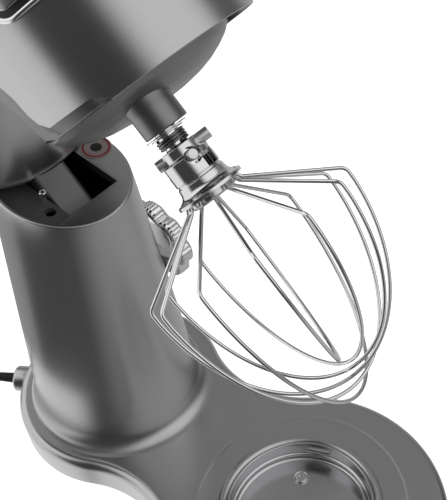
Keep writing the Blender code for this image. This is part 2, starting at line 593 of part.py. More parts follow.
def make_planetary(head):
    """The dished carrier, the agitator shaft that it swings, and that shaft's planet gear."""
    low = DOME_RIM_Z - DOME_DEPTH
    outer = [(0.0, low), (22.0, low), (33.0, low + 1.6), (42.0, low + 5.0), (48.0, low + 9.3),
             (DOME_R, DOME_RIM_Z)]
    inner = [(DOME_R - 2.6, DOME_RIM_Z), (44.0, low + 9.3), (36.0, low + 5.2), (24.0, low + 3.0),
             (14.0, low + 3.0), (14.0, 218.6), (0.0, 218.6)]
    carrier = add("planet_carrier", lathe(outer + inner, 36), PAINT, (0.0, 0.0, 0.0), head)
    x, y = eccentric()
    boss = rod(BOSS_R, BOSS_END_Z, 213.0, 24)
    cut(carrier, boss, (x, y, 0.0), head, "UNION")
    cut(carrier, rod(SHAFT_R + 0.08, 150.0, 240.0, 20), (x, y, 0.0), head)

    planet_phase = math.radians(ECCENTRIC_ANGLE) + math.pi / PLANET_TEETH
    planet = gear(PLANET_TEETH, RING_MODULE, 6.65, RING_Z, RING_Z + RING_WIDTH, planet_phase)
    add("planet_gear", planet, STEEL, (x, y, 0.0), head)
    shaft = add("agitator_shaft", rod(SHAFT_R, SHAFT_END_Z, RING_Z + RING_WIDTH + 2.0, 20), CHROME,
                (x, y, 0.0), head)
    pin = rod(PIN_R, -PIN_HALF, PIN_HALF, 20, "X")
    pin.transform(Matrix.Rotation(math.radians(WHISK_FIRST_ANGLE + 90.0), 4, "Z"))
    pin.transform(Matrix.Translation((0.0, 0.0, PIN_Z)))
    cut(shaft, pin, (x, y, 0.0), head, "UNION")
    add("thrust_washer", ring(SHAFT_R + GAP, 10.3, 186.2, 187.3, 24), STEEL, (x, y, 0.0), head)


def make_spring(head):
    """A helical spring between the washer and the whisk hub, as a swept round wire."""
    x, y = eccentric()
    turns, steps, sides = 3.5, 10, 5
    low, high, radius, wire = 178.4, 185.2, 8.3, 0.55
    sections = []
    total = int(turns * steps)
    for i in range(total + 1):
        angle = 2.0 * math.pi * i / steps
        height = low + (high - low) * i / total
        center = Vector((*polar(radius, angle), height))
        outward = Vector((*polar(1.0, angle), 0.0))
        loop = []
        for k in range(sides):
            u, v = polar(wire, 2.0 * math.pi * k / sides)
            loop.append(center + outward * u + Vector((0.0, 0.0, v)))
        sections.append(loop)
    add("hub_spring", loft(sections), STEEL, (x, y, 0.0), head)


def make_whisk(head):
    """The hub with its bayonet slots, the flange, and six nested wire loops."""
    x, y = eccentric()
    top, collar, low = 176.6, 171.0, FLANGE_Z
    bore = SHAFT_R + 0.25
    profile = [(bore, top), (9.6, top), (9.6, collar + 1.0), (11.75, collar - 0.5), (11.75, 160.0),
               (13.0, 156.5), (FLANGE_R, low + 1.6), (FLANGE_R, low), (bore, low)]
    hub = add("whisk_hub", lathe(profile, 28), STEEL, (x, y, 0.0), head)
    slot = block((-20.0, -PIN_R - 0.5, PIN_Z - PIN_R - 5.0), (20.0, PIN_R + 0.5, top + 5.0))
    slot.transform(Matrix.Rotation(math.radians(WHISK_FIRST_ANGLE + 90.0), 4, "Z"))
    cut(hub, slot, (x, y, 0.0), head)
    window = block((5.0, -6.0, 161.0), (20.0, 6.0, 169.0))
    window.transform(Matrix.Rotation(math.radians(WHISK_FIRST_ANGLE), 4, "Z"))
    cut(hub, window, (x, y, 0.0), head)
    plug = lathe([(0.0, low - 5.0), (9.0, low - 5.0), (12.0, low - GAP), (0.0, low - GAP)], 24)
    add("whisk_end_plug", plug, STEEL, (x, y, 0.0), head)
    for number in range(WHISK_WIRES):
        make_wire(head, number, (x, y, 0.0))


def wire_path(number):
    """(outward, height) points of one loop, from one flange hole to the opposite one."""
    start_r = 14.6
    start = FLANGE_Z - 1.1
    shoulder = FLANGE_Z - WHISK_SHOULDER
    tip = FLANGE_Z - WHISK_TIP - WHISK_STEP * number
    half = [(start_r, start), (start_r + 2.4, start - 4.0)]
    for i in range(1, 5):
        share = i / 5.0
        bow = 1.6 * math.sin(math.pi * share)
        half.append((start_r + 3.0 + (WHISK_R - start_r - 5.0) * share + bow,
                     start - 4.0 + (shoulder + 3.0 - start + 4.0) * share + bow))
    half += [(WHISK_R - 0.6, shoulder + 1.8), (WHISK_R, shoulder - 0.6)]
    steps = 9
    for i in range(1, steps + 1):
        angle = math.pi / 2.0 * i / steps
        half.append((WHISK_R * math.cos(angle), shoulder - (shoulder - tip) * math.sin(angle)))
    mirrored = [(-out, height) for out, height in reversed(half[:-1])]
    return half + mirrored


def make_wire(head, number, origin):
    angle = math.radians(WHISK_FIRST_ANGLE + 180.0 / WHISK_WIRES * number)
    path = []
    for out, height in wire_path(number):
        x, y = polar(out, angle)
        path.append(Vector((x, y, height)))
    side = Vector((-math.sin(angle), math.cos(angle), 0.0))
    sections = []
    for i, point in enumerate(path):
        ahead = path[min(i + 1, len(path) - 1)]
        behind = path[max(i - 1, 0)]
        along = (ahead - behind).normalized()
        normal = along.cross(side)
        loop = []
        for k in range(6):
            u, v = polar(WIRE_R, 2.0 * math.pi * k / 6)
            loop.append(point + side * u + normal * v)
        sections.append(loop)
    add("whisk_wire_%d" % (number + 1), loft(sections), CHROME, origin, head)


# ---- mains cord ---------------------------------------------------------------------------
def base_rear_point(angle, distance):
    x, y = polar(BASE_REAR_R + distance, math.radians(angle))
    return BASE_REAR_X + x, y


# Points of the free cord between the strain relief and the coil.
CORD_ROUTE = [(-256.2, -50.6, -11.0), (-262.4, -54.4, -11.3), (-269.6, -58.3, -12.9),
              (-277.0, -62.2, -16.0), (-284.0, -66.2, -19.6), (-291.0, -70.6, -22.8),
              (-298.2, -75.3, -24.5), (-306.0, -80.3, -24.8), (-314.0, -85.3, -24.8),
              (-321.6, -89.9, -24.8)]
COIL_X, COIL_Y = -343.5, -50.2
PLUG_X, PLUG_Y, PLUG_Z, PLUG_TURN = -370.0, -88.0, -18.7, 180.0


def smooth(route, steps=2):
    """Catmull-Rom points through a route."""
    points = [Vector(point) for point in route]
    padded = [2.0 * points[0] - points[1]] + points + [2.0 * points[-1] - points[-2]]
    result = []
    for i in range(1, len(padded) - 2):
        a, b, c, d = padded[i - 1:i + 3]
        for k in range(steps):
            t = k / steps
            result.append(0.5 * ((2.0 * b) + (c - a) * t + (2.0 * a - 5.0 * b + 4.0 * c - d) * t * t
                                 + (3.0 * b - a - 3.0 * c + d) * t * t * t))
    result.append(points[-1])
    return result


def cord_tube(name, route):
    """A curve object of the cord's diameter along a smooth curve through the route."""
    curve = bpy.data.curves.new(name, "CURVE")
    curve.dimensions = "3D"
    curve.bevel_depth = CORD_R * MM
    curve.bevel_resolution = 2
    curve.use_fill_caps = True
    curve.render_resolution_u = 0
    points = smooth(route)
    spline = curve.splines.new("POLY")
    spline.points.add(len(points) - 1)
    for slot, point in zip(spline.points, points):
        slot.co = (*world(*point), 1.0)
    curve.materials.append(material(name + "_finish", BLACK))
    item = bpy.data.objects.new(name, curve)
    bpy.context.scene.collection.objects.link(item)
    return item


def make_cord():
    """Outlet boss, strain relief, the free cord, its coil behind the base, and the plug."""
    x, y = base_rear_point(CORD_EXIT_ANGLE, 0.0)
    height = -11.0
    turn = Matrix.Rotation(math.radians(CORD_EXIT_ANGLE), 4, "Z")
    boss = lathe([(3.9, 0.4), (9.5, 0.4), (9.5, 4.0), (8.0, 6.8), (5.0, 8.0), (3.9, 8.0)], 28, "X")
    boss.transform(turn)
    add("cord_outlet", boss, PAINT, (x, y, height))
    relief = lathe([(0.0, 0.6), (3.6, 0.6), (3.6, 14.0), (CORD_R + 0.1, 24.0), (0.0, 24.0)], 20, "X")
    relief.transform(turn)
    add("strain_relief", relief, BLACK, (x, y, height))
    cord_tube("mains_cord", CORD_ROUTE)
    section = [polar(COIL_SECTION_R, 2.0 * math.pi * k / 8) for k in range(8)]
    coil = lathe([(COIL_MEAN_R + u, v) for u, v in section], 24)
    add("cord_coil", coil, BLACK, (COIL_X, COIL_Y, BASE_BOTTOM_Z - FOOT_HEIGHT + COIL_SECTION_R))
    make_plug()


def make_plug():
    """A moulded plug with two flat blades and a round earth pin, lying beside the coil."""
    turn = Matrix.Rotation(math.radians(PLUG_TURN), 4, "Z")
    x, y, z = PLUG_X, PLUG_Y, PLUG_Z
    sections = []
    for along, half_width, half_height in ((GAP, 5.0, 5.0), (10.0, 7.0, 6.5), (16.0, 13.0, 8.8),
                                           (31.0, 14.0, 9.0), (33.0, 13.2, 8.2)):
        loop = []
        for i in range(24):
            u, v = polar(1.0, 2.0 * math.pi * i / 24)
            u, v = math.copysign(abs(u) ** 0.6, u), math.copysign(abs(v) ** 0.6, v)
            loop.append(Vector((along, half_width * u, half_height * v)))
        sections.append(loop)
    body = loft(sections)
    body.transform(turn)
    add("plug_body", body, BLACK, (x, y, z))
    for name, side in (("left", -6.3), ("right", 6.3)):
        blade = block((33.0 + GAP, side - 0.8, -5.5), (50.0, side + 0.8, 1.0))
        blade.transform(turn)
        add("plug_blade_" + name, blade, BRASS, (x, y, z))
    earth = rod(2.4, 33.0 + GAP, 53.0, 16, "X")
    earth.transform(turn @ Matrix.Translation((0.0, 0.0, 4.6)))
    add("plug_earth_pin", earth, BRASS, (x, y, z))


def build():
    clear_scene()
    make_base()
    make_bowl_seat()
    make_pillar()
    make_hinge()
    make_lock()
    head = head_empty()
    make_head_casing(head)
    make_dial(head)
    make_neck(head)
    make_hinge_arm(head)
    make_chassis(head)
    make_motor(head)
    make_gear_train(head)
    make_planetary(head)
    make_spring(head)
    make_whisk(head)
    make_cord()


build()
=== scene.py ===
"""Looks of a tilt-head stand mixer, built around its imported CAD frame. Shapes are in millimetres."""
import json
import math

import bmesh
import bpy
from mathutils import Matrix, Vector


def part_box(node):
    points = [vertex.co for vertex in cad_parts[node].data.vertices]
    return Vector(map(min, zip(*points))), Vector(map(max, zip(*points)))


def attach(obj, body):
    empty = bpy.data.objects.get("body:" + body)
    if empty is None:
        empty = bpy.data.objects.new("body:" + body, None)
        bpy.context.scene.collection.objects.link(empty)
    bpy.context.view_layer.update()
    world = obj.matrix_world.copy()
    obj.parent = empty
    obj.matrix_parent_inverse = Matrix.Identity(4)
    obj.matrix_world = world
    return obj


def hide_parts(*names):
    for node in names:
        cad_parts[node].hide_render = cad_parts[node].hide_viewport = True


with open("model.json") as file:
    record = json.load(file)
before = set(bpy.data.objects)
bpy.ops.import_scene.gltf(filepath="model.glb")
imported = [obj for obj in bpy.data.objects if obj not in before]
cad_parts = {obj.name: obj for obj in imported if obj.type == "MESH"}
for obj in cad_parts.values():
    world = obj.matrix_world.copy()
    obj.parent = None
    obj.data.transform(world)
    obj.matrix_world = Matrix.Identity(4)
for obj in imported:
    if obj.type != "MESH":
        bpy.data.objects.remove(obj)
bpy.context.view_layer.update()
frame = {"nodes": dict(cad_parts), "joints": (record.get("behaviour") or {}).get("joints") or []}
NODES = frame["nodes"]
MM = 0.001

# ---- places worked out from the frame ----
# Shapes are laid out from the centre of the bowl seat on the base's top face: X forward,
# Z up, with the head lowered.  RAISE turns the head's shapes up to the rest pose.
JOINTS = {joint["name"]: joint for joint in frame["joints"]}
SEAT_LOW, SEAT_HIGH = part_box("bowl_lock_plate")
BASE_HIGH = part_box("base_casting")[1]
SEAT = Vector(((SEAT_LOW.x + SEAT_HIGH.x) / 2.0, 0.0, BASE_HIGH.z))
PLACE = Matrix.Translation(SEAT) @ Matrix.Scale(MM, 4)
PIVOT = PLACE.inverted() @ Vector(JOINTS["head_tilt"]["pos_m"])
TILT = math.radians(JOINTS["head_tilt"]["range_deg"][1])
RAISE = Matrix.Translation(PIVOT) @ Matrix.Rotation(-TILT, 4, "Y") @ Matrix.Translation(-PIVOT)
LOWER = RAISE.inverted()
FLOOR_Z = -SEAT.z / MM


# ---- mesh helpers ----
def polar(radius, degrees):
    return radius * math.cos(math.radians(degrees)), radius * math.sin(math.radians(degrees))


def spin(degrees, axis="Z"):
    return Matrix.Rotation(math.radians(degrees), 4, axis)


def add_object(name, data):
    item = bpy.data.objects.new(name, data)
    bpy.context.scene.collection.objects.link(item)
    return item


def placed_mesh(name, data, place=None):
    """Turn bmesh data in millimetres into a mesh in metres, standing where the frame stands."""
    mesh = bpy.data.meshes.new(name)
    data.to_mesh(mesh)
    data.free()
    mesh.transform(PLACE @ (place or Matrix.Identity(4)))
    return mesh


def smooth(mesh, sharp):
    """Shade smooth, with edges above an angle in degrees kept sharp."""
    mesh.shade_smooth()
    mesh.set_sharp_from_angle(angle=math.radians(sharp))


def piece(name, data, body, place=None, sharp=35.0, replaces=()):
    """Turn bmesh data in millimetres into a smooth piece that rides on a CAD body."""
    bmesh.ops.remove_doubles(data, verts=data.verts, dist=1e-4)
    bmesh.ops.recalc_face_normals(data, faces=data.faces)
    mesh = placed_mesh(name, data, place)
    smooth(mesh, sharp)
    item = add_object(name, mesh)
    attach(item, body)
    if replaces:
        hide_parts(*replaces)
    return item


def skin(rows, close_rows=False, close_loop=True, caps=(False, False)):
    """Quads between equal rows of points; a row of one point makes a fan."""
    data = bmesh.new()
    verts = [[data.verts.new(point) for point in row] for row in rows]
    count = max(len(row) for row in rows)
    pairs = list(zip(verts, verts[1:]))
    if close_rows:
        pairs.append((verts[-1], verts[0]))
    for low, high in pairs:
        for i in range(count if close_loop else count - 1):
            j = (i + 1) % count
            ring = [low[i % len(low)], low[j % len(low)], high[j % len(high)], high[i % len(high)]]
            data.faces.new(list(dict.fromkeys(ring)))
    for wanted, row in zip(caps, (verts[0], verts[-1])):
        if wanted:
            data.faces.new(row)
    return data


def fillet(points, steps=5):
    """Round the corners of an open outline given as (a, b, radius) with arcs."""
    result = []
    for i, (a, b, radius) in enumerate(points):
        here = Vector((a, b))
        if radius <= 0.0 or i in (0, len(points) - 1):
            result.append(here)
            continue
        back = Vector(points[i - 1][:2]) - here
        ahead = Vector(points[i + 1][:2]) - here
        half = back.angle(ahead) / 2.0
        reach = min(radius / math.tan(half), back.length * 0.49, ahead.length * 0.49)
        true = reach * math.tan(half)
        middle = here + (back.normalized() + ahead.normalized()).normalized() * (true / math.sin(half))
        start = here + back.normalized() * reach - middle
        end = here + ahead.normalized() * reach - middle
        sweep = start.angle_signed(end)
        for k in range(steps + 1):
            result.append(middle + Matrix.Rotation(-sweep * k / steps, 2) @ start)
    return [(point.x, point.y) for point in result]


AXES = {"Z": Matrix.Identity(4), "X": spin(90.0, "Y"), "Y": spin(-90.0, "X")}


def turned(outline, segments, axis="Z", origin=(0.0, 0.0, 0.0), closed=False, wave=None):
    """Revolve (radius, height) points about an axis; wave adds to the radius by radius and angle."""
    place = Matrix.Translation(Vector(origin)) @ AXES[axis]
    rows = []
    for radius, height in outline:
        if radius < 1e-6:
            rows.append([place @ Vector((0.0, 0.0, height))])
            continue
        row = []
        for i in range(segments):
            angle = 360.0 * i / segments
            reach = radius + wave(radius, angle) if wave else radius
            row.append(place @ Vector((*polar(reach, angle), height)))
        rows.append(row)
    return skin(rows, close_rows=closed)


def tube(path, radius, sides, across=None):
    """A round tube along 3-D points with flat ends; across sets where its first side starts."""
    points = [Vector(point) for point in path]
    rows = []
    normal = across
    for i, point in enumerate(points):
        along = (points[min(i + 1, len(points) - 1)] - points[max(i - 1, 0)]).normalized()
        if normal is None:
            normal = along.orthogonal()
        normal = (normal - along * normal.dot(along)).normalized()
        side = along.cross(normal)
        row = []
        for k in range(sides):
            u, v = polar(radius, 360.0 * k / sides)
            row.append(point + normal * u + side * v)
        rows.append(row)
    return skin(rows, caps=(True, True))


def box(low, high):
    corners = [(low[0], low[1]), (high[0], low[1]), (high[0], high[1]), (low[0], high[1])]
    return skin([[Vector((x, y, z)) for x, y in corners] for z in (low[2], high[2])], caps=(True, True))


def cut_with(item, helper, sharp=35.0):
    """Cut a helper object out of a finished piece, and remove the helper."""
    cut = item.modifiers.new("cut", "BOOLEAN")
    cut.operation = "DIFFERENCE"
    cut.solver = "EXACT"
    cut.object = helper
    bpy.context.view_layer.update()
    graph = bpy.context.evaluated_depsgraph_get()
    result = bpy.data.meshes.new_from_object(item.evaluated_get(graph))
    item.modifiers.clear()
    item.data = result
    bpy.data.objects.remove(helper, do_unlink=True)
    smooth(result, sharp)


def carve(item, data, place=None):
    """Cut bmesh data in millimetres out of a finished piece."""
    bmesh.ops.recalc_face_normals(data, faces=data.faces)
    cut_with(item, add_object("helper", placed_mesh("helper", data, place)))


def bevel(item, width, segments=3, angle=40.0):
    """Small real roundings, width in millimetres, on every edge sharper than an angle in degrees."""
    soft = item.modifiers.new("edges", "BEVEL")
    soft.width = width * MM
    soft.segments = segments
    soft.limit_method = "ANGLE"
    soft.angle_limit = math.radians(angle)
    soft.harden_normals = True


# ---- camera ----
CAMERA_HEADING, CAMERA_DIP, CAMERA_ROLL = 127.37, 47.09, -0.05
CAMERA_PLACE = Vector((244.17, -251.96, 625.65))
CAMERA_LENS, CAMERA_SHIFT = 74.854, (-0.2755, 0.0019)


def make_camera():
    data = bpy.data.cameras.new("camera")
    data.sensor_width = 36.0
    data.lens = CAMERA_LENS
    data.shift_x, data.shift_y = CAMERA_SHIFT
    data.clip_start, data.clip_end = 0.01, 30.0
    camera = add_object("camera", data)
    turn = spin(CAMERA_HEADING - 90.0)
    dip = spin(90.0 - CAMERA_DIP, "X")
    roll = spin(CAMERA_ROLL)
    camera.matrix_world = Matrix.Translation(PLACE @ CAMERA_PLACE) @ turn @ dip @ roll
    bpy.context.scene.camera = camera


make_camera()


# ---- materials ----
class Nodes:
    """A short way to write a node tree."""

    def __init__(self, name):
        self.material = bpy.data.materials.new(name)
        self.material.use_nodes = True
        self.tree = self.material.node_tree
        self.shader = self.tree.nodes["Principled BSDF"]
        self.space = self.add("ShaderNodeTexCoord").outputs["Object"]

    def add(self, kind, **values):
        node = self.tree.nodes.new(kind)
        for key, value in values.items():
            setattr(node, key, value)
        return node

    def link(self, source, target):
        self.tree.links.new(source, target)

    def noise(self, scale, detail=2.0, rough=0.5, stretch=None):
        node = self.add("ShaderNodeTexNoise")
        node.inputs["Scale"].default_value = scale
        node.inputs["Detail"].default_value = detail
        node.inputs["Roughness"].default_value = rough
        source = self.space
        if stretch:
            mapping = self.add("ShaderNodeMapping")
            mapping.inputs["Scale"].default_value = stretch
            self.link(source, mapping.inputs["Vector"])
            source = mapping.outputs["Vector"]
        self.link(source, node.inputs["Vector"])
        return node.outputs["Fac"]

    def span(self, source, low, high, start=0.0, end=1.0):
        node = self.add("ShaderNodeMapRange")
        node.inputs["From Min"].default_value = start
        node.inputs["From Max"].default_value = end
        node.inputs["To Min"].default_value = low
        node.inputs["To Max"].default_value = high
        self.link(source, node.inputs["Value"])
        return node.outputs["Result"]

    def blend(self, fac, low, high):
        node = self.add("ShaderNodeMix", data_type="RGBA")
        node.inputs["A"].default_value = (*low, 1.0)
        node.inputs["B"].default_value = (*high, 1.0)
        self.link(fac, node.inputs["Factor"])
        return node.outputs["Result"]

    def bump(self, source, distance, strength=1.0):
        node = self.add("ShaderNodeBump")
        node.inputs["Strength"].default_value = strength
        node.inputs["Distance"].default_value = distance
        self.link(source, node.inputs["Height"])
        self.link(node.outputs["Normal"], self.shader.inputs["Normal"])

    def put(self, **values):
        names = {"color": "Base Color", "metallic": "Metallic", "roughness": "Roughness",
                 "coat": "Coat Weight", "coat_roughness": "Coat Roughness"}
        for key, value in values.items():
            socket = self.shader.inputs[names[key]]
            if isinstance(value, bpy.types.NodeSocket):
                self.link(value, socket)
            elif key == "color":
                socket.default_value = (*value, 1.0)
            else:
                socket.default_value = value


def enamel(name, tone, roughness):
    """Satin metallic enamel: fine flake in the colour, a faint orange peel, a soft clear coat."""
    made = Nodes(name)
    flake = made.noise(2600.0, 2.0, 0.6)
    cloud = made.noise(9.0, 3.0, 0.5)
    dark = tuple(part * 0.90 for part in tone)
    light = tuple(part * 1.10 for part in tone)
    made.put(color=made.blend(flake, dark, light), metallic=1.0,
             roughness=made.span(cloud, roughness - 0.03, roughness + 0.04),
             coat=0.2, coat_roughness=0.12)
    made.bump(made.noise(420.0, 2.0, 0.5), 0.00002, 0.35)
    return made.material


def metal(name, tone, roughness, stretch=None, scale=900.0, spread=0.06, bump=0.000012):
    """Plated or brushed metal with a fine grain, drawn out along one direction by stretch."""
    made = Nodes(name)
    grain = made.noise(scale, 3.0, 0.6, stretch)
    dark = tuple(part * 0.92 for part in tone)
    made.put(color=made.blend(grain, dark, tone), metallic=1.0,
             roughness=made.span(grain, max(roughness - spread, 0.03), roughness + spread))
    made.bump(grain, bump, 0.5)
    return made.material


def moulded(name, tone, roughness):
    """Moulded plastic or rubber with a fine grain."""
    made = Nodes(name)
    noise = made.noise(1500.0, 2.0, 0.5)
    light = tuple(part * 1.35 + 0.002 for part in tone)
    made.put(color=made.blend(made.noise(35.0, 3.0), tone, light), metallic=0.0,
             roughness=made.span(noise, roughness - 0.06, roughness + 0.06))
    made.bump(noise, 0.00003, 0.5)
    return made.material


def spun_metal(name, tone, roughness):
    """Metal with a circular grain round the vertical axis, which stretches its highlights."""
    material = metal(name, tone, roughness)
    tree = material.node_tree
    shader = tree.nodes["Principled BSDF"]
    shader.inputs["Anisotropic"].default_value = 0.85
    grain = tree.nodes.new("ShaderNodeTangent")
    grain.direction_type = "RADIAL"
    grain.axis = "Z"
    tree.links.new(grain.outputs["Tangent"], shader.inputs["Tangent"])
    return material


PAINT = enamel("grey_enamel", (0.50, 0.50, 0.505), 0.25)
# A darker, rougher copy of the grey enamel, for the hinge casting.
HINGE_ENAMEL = enamel("satin_enamel", (0.24, 0.24, 0.243), 0.55)
PAINT_PILLAR = enamel("pillar_enamel", (0.50, 0.50, 0.505), 0.33)
# A darker, rougher copy of the grey enamel for the dome and boss: painted shade.
DOME_SHADE_ENAMEL = enamel("dome_enamel_painted_shade", (0.28, 0.28, 0.283), 0.42)
# A darker copy of the grey enamel for the head's lower lip: painted shade.
LIP_SHADE_ENAMEL = enamel("lip_enamel_painted_shade", (0.17, 0.17, 0.172), 0.40)
# A near-black copy of the grey enamel for the gear case and the hinge tail: painted shade.
SHADE_ENAMEL = enamel("grey_enamel_painted_shade", (0.11, 0.11, 0.113), 0.36)
STEEL = metal("brushed_steel", (0.66, 0.66, 0.67), 0.20, (1.0, 1.0, 0.12))
SPUN = spun_metal("spun_seat_floor", (0.50, 0.50, 0.51), 0.24)
CUP_STEEL = metal("spun_steel", (0.60, 0.60, 0.61), 0.16, None, 300.0, 0.05, 0.000006)
HUB_STEEL = metal("hub_steel", (0.78, 0.78, 0.79), 0.12, None, 600.0, 0.04, 0.000008)
DARK_STEEL = metal("spring_steel", (0.22, 0.22, 0.23), 0.22)
SATIN = metal("satin_nickel", (0.80, 0.80, 0.80), 0.36)
CHROME = metal("bright_chrome", (0.86, 0.86, 0.87), 0.06, None, 500.0, 0.02, 0.000004)
WIRE = metal("polished_wire", (0.84, 0.84, 0.85), 0.07, None, 700.0, 0.03, 0.000006)
BLACK = moulded("black_plastic", (0.008, 0.008, 0.009), 0.38)
RUBBER = moulded("black_rubber", (0.010, 0.010, 0.011), 0.52)
DECK = moulded("well_cover", (0.075, 0.075, 0.078), 0.45)
LABEL = moulded("pale_film", (0.30, 0.24, 0.235), 0.4)
LABEL_RING = moulded("red_ink", (0.22, 0.02, 0.025), 0.4)
NYLON = moulded("natural_nylon", (0.62, 0.61, 0.56), 0.45)
IRON = metal("laminated_iron", (0.16, 0.16, 0.17), 0.42, (1.0, 1.0, 12.0))
COPPER = metal("copper_windings", (0.62, 0.30, 0.15), 0.3, (1.0, 1.0, 6.0))


def paint(item, material):
    item.data.materials.clear()
    item.data.materials.append(material)
    return item


# ---- mains cord ----
BASE_REAR_X, BASE_REAR_R = -172.0, 74.0
CORD_R, CORD_ANGLE, CORD_Z = 3.1, 211.0, -11.0
CORD_X, CORD_Y = polar(BASE_REAR_R, CORD_ANGLE)
CORD_EXIT = Matrix.Translation((BASE_REAR_X + CORD_X, CORD_Y, CORD_Z)) @ spin(CORD_ANGLE)
CORD_ROUTE = [(-256.2, -50.6, -11.0), (-262.4, -54.4, -11.3), (-269.6, -58.3, -12.9),
              (-277.0, -62.2, -16.0), (-284.0, -66.2, -19.6), (-291.0, -70.6, -22.8),
              (-298.2, -75.3, -24.5), (-306.0, -80.3, -24.8), (-314.0, -85.3, -24.8),
              (-321.6, -89.9, -24.8)]
COIL_CENTER = Vector((-343.5, -50.2, 0.0))
COIL_START, COIL_END, COIL_STEP = -61.1, 1469.0, 8.0
COIL_ENTRY, COIL_OUTER, COIL_INNER, COIL_LIFT = 45.3, 36.2, 29.8, 6.3
PLUG_PLACE, PLUG_TURN = Vector((-370.0, -88.0, -18.7)), 180.0


def ease(value, start, end):
    share = min(max((value - start) / (end - start), 0.0), 1.0)
    return share * share * (3.0 - 2.0 * share)


def spline(points, steps):
    """Catmull-Rom points through a list."""
    given = [Vector(point) for point in points]
    padded = [2.0 * given[0] - given[1]] + given + [2.0 * given[-1] - given[-2]]
    result = []
    for i in range(1, len(padded) - 2):
        a, b, c, d = padded[i - 1:i + 3]
        for k in range(steps):
            t = k / steps
            result.append(0.5 * (2.0 * b + (c - a) * t + (2.0 * a - 5.0 * b + 4.0 * c - d) * t * t
                                 + (3.0 * b - a - 3.0 * c + d) * t * t * t))
    result.append(given[-1])
    return result


def cord_path():
    """Straight out, down to the table, four turns of a low coil in two layers, into the plug."""
    points = spline(CORD_ROUTE, 3)
    low = CORD_ROUTE[-1][2]
    turn = COIL_STEP
    while turn < COIL_END:
        radius = COIL_ENTRY - 2.7 * ease(turn, 0.0, 90.0) - 6.4 * ease(turn, 90.0, 160.0)
        radius += (COIL_INNER - COIL_OUTER) * (ease(turn, 449.0, 499.0) - ease(turn, 1059.0, 1109.0))
        x, y = polar(radius, COIL_START - turn)
        points.append(COIL_CENTER + Vector((x, y, low + COIL_LIFT * ease(turn, 749.0, 809.0))))
        turn += COIL_STEP
    last = points[-1]
    points += [last.lerp(PLUG_PLACE, share) for share in (0.3, 0.6, 0.85)] + [PLUG_PLACE]
    return points


def make_cord():
    path = cord_path()
    curve = bpy.data.curves.new("mains_flex", "CURVE")
    curve.dimensions = "3D"
    curve.bevel_depth = CORD_R * MM
    curve.bevel_resolution = 5
    curve.use_fill_caps = True
    line = curve.splines.new("POLY")
    line.points.add(len(path) - 1)
    for slot, point in zip(line.points, path):
        slot.co = (*(PLACE @ point), 1.0)
    curve.materials.append(RUBBER)
    flex = add_object("mains_flex", curve)
    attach(flex, "frame")
    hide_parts("mains_cord", "cord_coil")
    outline = [(0.0, -4.0), (3.8, -4.0)]
    for i in range(7):
        out, thick, thin = 2.1 * i, 3.8 - 0.09 * i, 3.35 - 0.05 * i
        outline += [(thick, 8.5 + out), (thick, 9.7 + out), (thin, 9.9 + out), (thin, 10.4 + out)]
    outline += [(CORD_R + 0.05, 24.0), (0.0, 24.0)]
    relief = piece("cord_strain_relief", turned(outline, 32, "X"), "frame", CORD_EXIT, 25.0,
                   ["strain_relief"])
    paint(relief, RUBBER)
    plug = make_plug()


def make_plug():
    """A moulded plug: an oval grip with finger ribs, growing to the face that holds the pins."""
    rows = []
    outline = fillet([(0.2, 4.2, 0.0), (3.0, 4.6, 2.0), (11.0, 6.0, 6.0), (16.0, 13.0, 5.0),
                      (31.0, 13.6, 2.0), (33.0, 12.4, 0.0)], 6)
    for along, half in outline:
        flat = 1.0 if half < 6.0 else 1.0 - 0.35 * min((half - 6.0) / 6.0, 1.0)
        groove = 0.5 * (1.0 - abs(math.cos(along * 1.05))) if 17.5 < along < 28.0 else 0.0
        row = []
        for i in range(48):
            u, v = polar(1.0, 7.5 * i)
            u = math.copysign(abs(u) ** 0.7, u)
            v = math.copysign(abs(v) ** 0.7, v)
            row.append(Vector((along, (half - groove) * u, min(half * flat, 8.8) * v)))
        rows.append(row)
    place = Matrix.Translation(PLUG_PLACE) @ spin(PLUG_TURN)
    grip = piece("plug_grip", skin(rows, caps=(True, True)), "frame", place, 40.0,
                 ["plug_body"])
    return paint(grip, BLACK)


make_cord()


# ---- base ----
BASE_FRONT_X, BASE_FRONT_R, BASE_WAIST_R = 6.0, 95.0, 75.0
BASE_BOTTOM = FLOOR_Z + 3.0
BASE_ROUND = 9.0
CUP_R, GROOVE_R, GROOVE_DEPTH = 50.0, 71.0, 0.28


def base_outline(inset):
    """Plan of the base: front and rear discs joined by two waist arcs."""
    front, rear, waist = BASE_FRONT_R - inset, BASE_REAR_R - inset, BASE_WAIST_R + inset
    span = BASE_FRONT_X - BASE_REAR_X
    along = (span ** 2 + (front + waist) ** 2 - (rear + waist) ** 2) / (2.0 * span)
    off = math.sqrt((front + waist) ** 2 - along ** 2)
    center = Vector((BASE_FRONT_X - along, off))
    a = math.degrees(math.atan2(off, -along))
    b = math.degrees(math.atan2(off, span - along))
    arcs = [((BASE_FRONT_X, 0.0), front, -a, a, 96), (center, waist, a - 180.0, b - 180.0, 24),
            ((BASE_REAR_X, 0.0), rear, b, 360.0 - b, 80),
            ((center.x, -center.y), waist, 180.0 - b, 180.0 - a, 24)]
    points = []
    for middle, radius, start, end, steps in arcs:
        for i in range(steps):
            x, y = polar(radius, start + (end - start) * i / steps)
            points.append((middle[0] + x, middle[1] + y))
    return points


def ring_points(radius, count, height):
    return [Vector((*polar(radius, 360.0 * i / count - 180.0), height)) for i in range(count)]


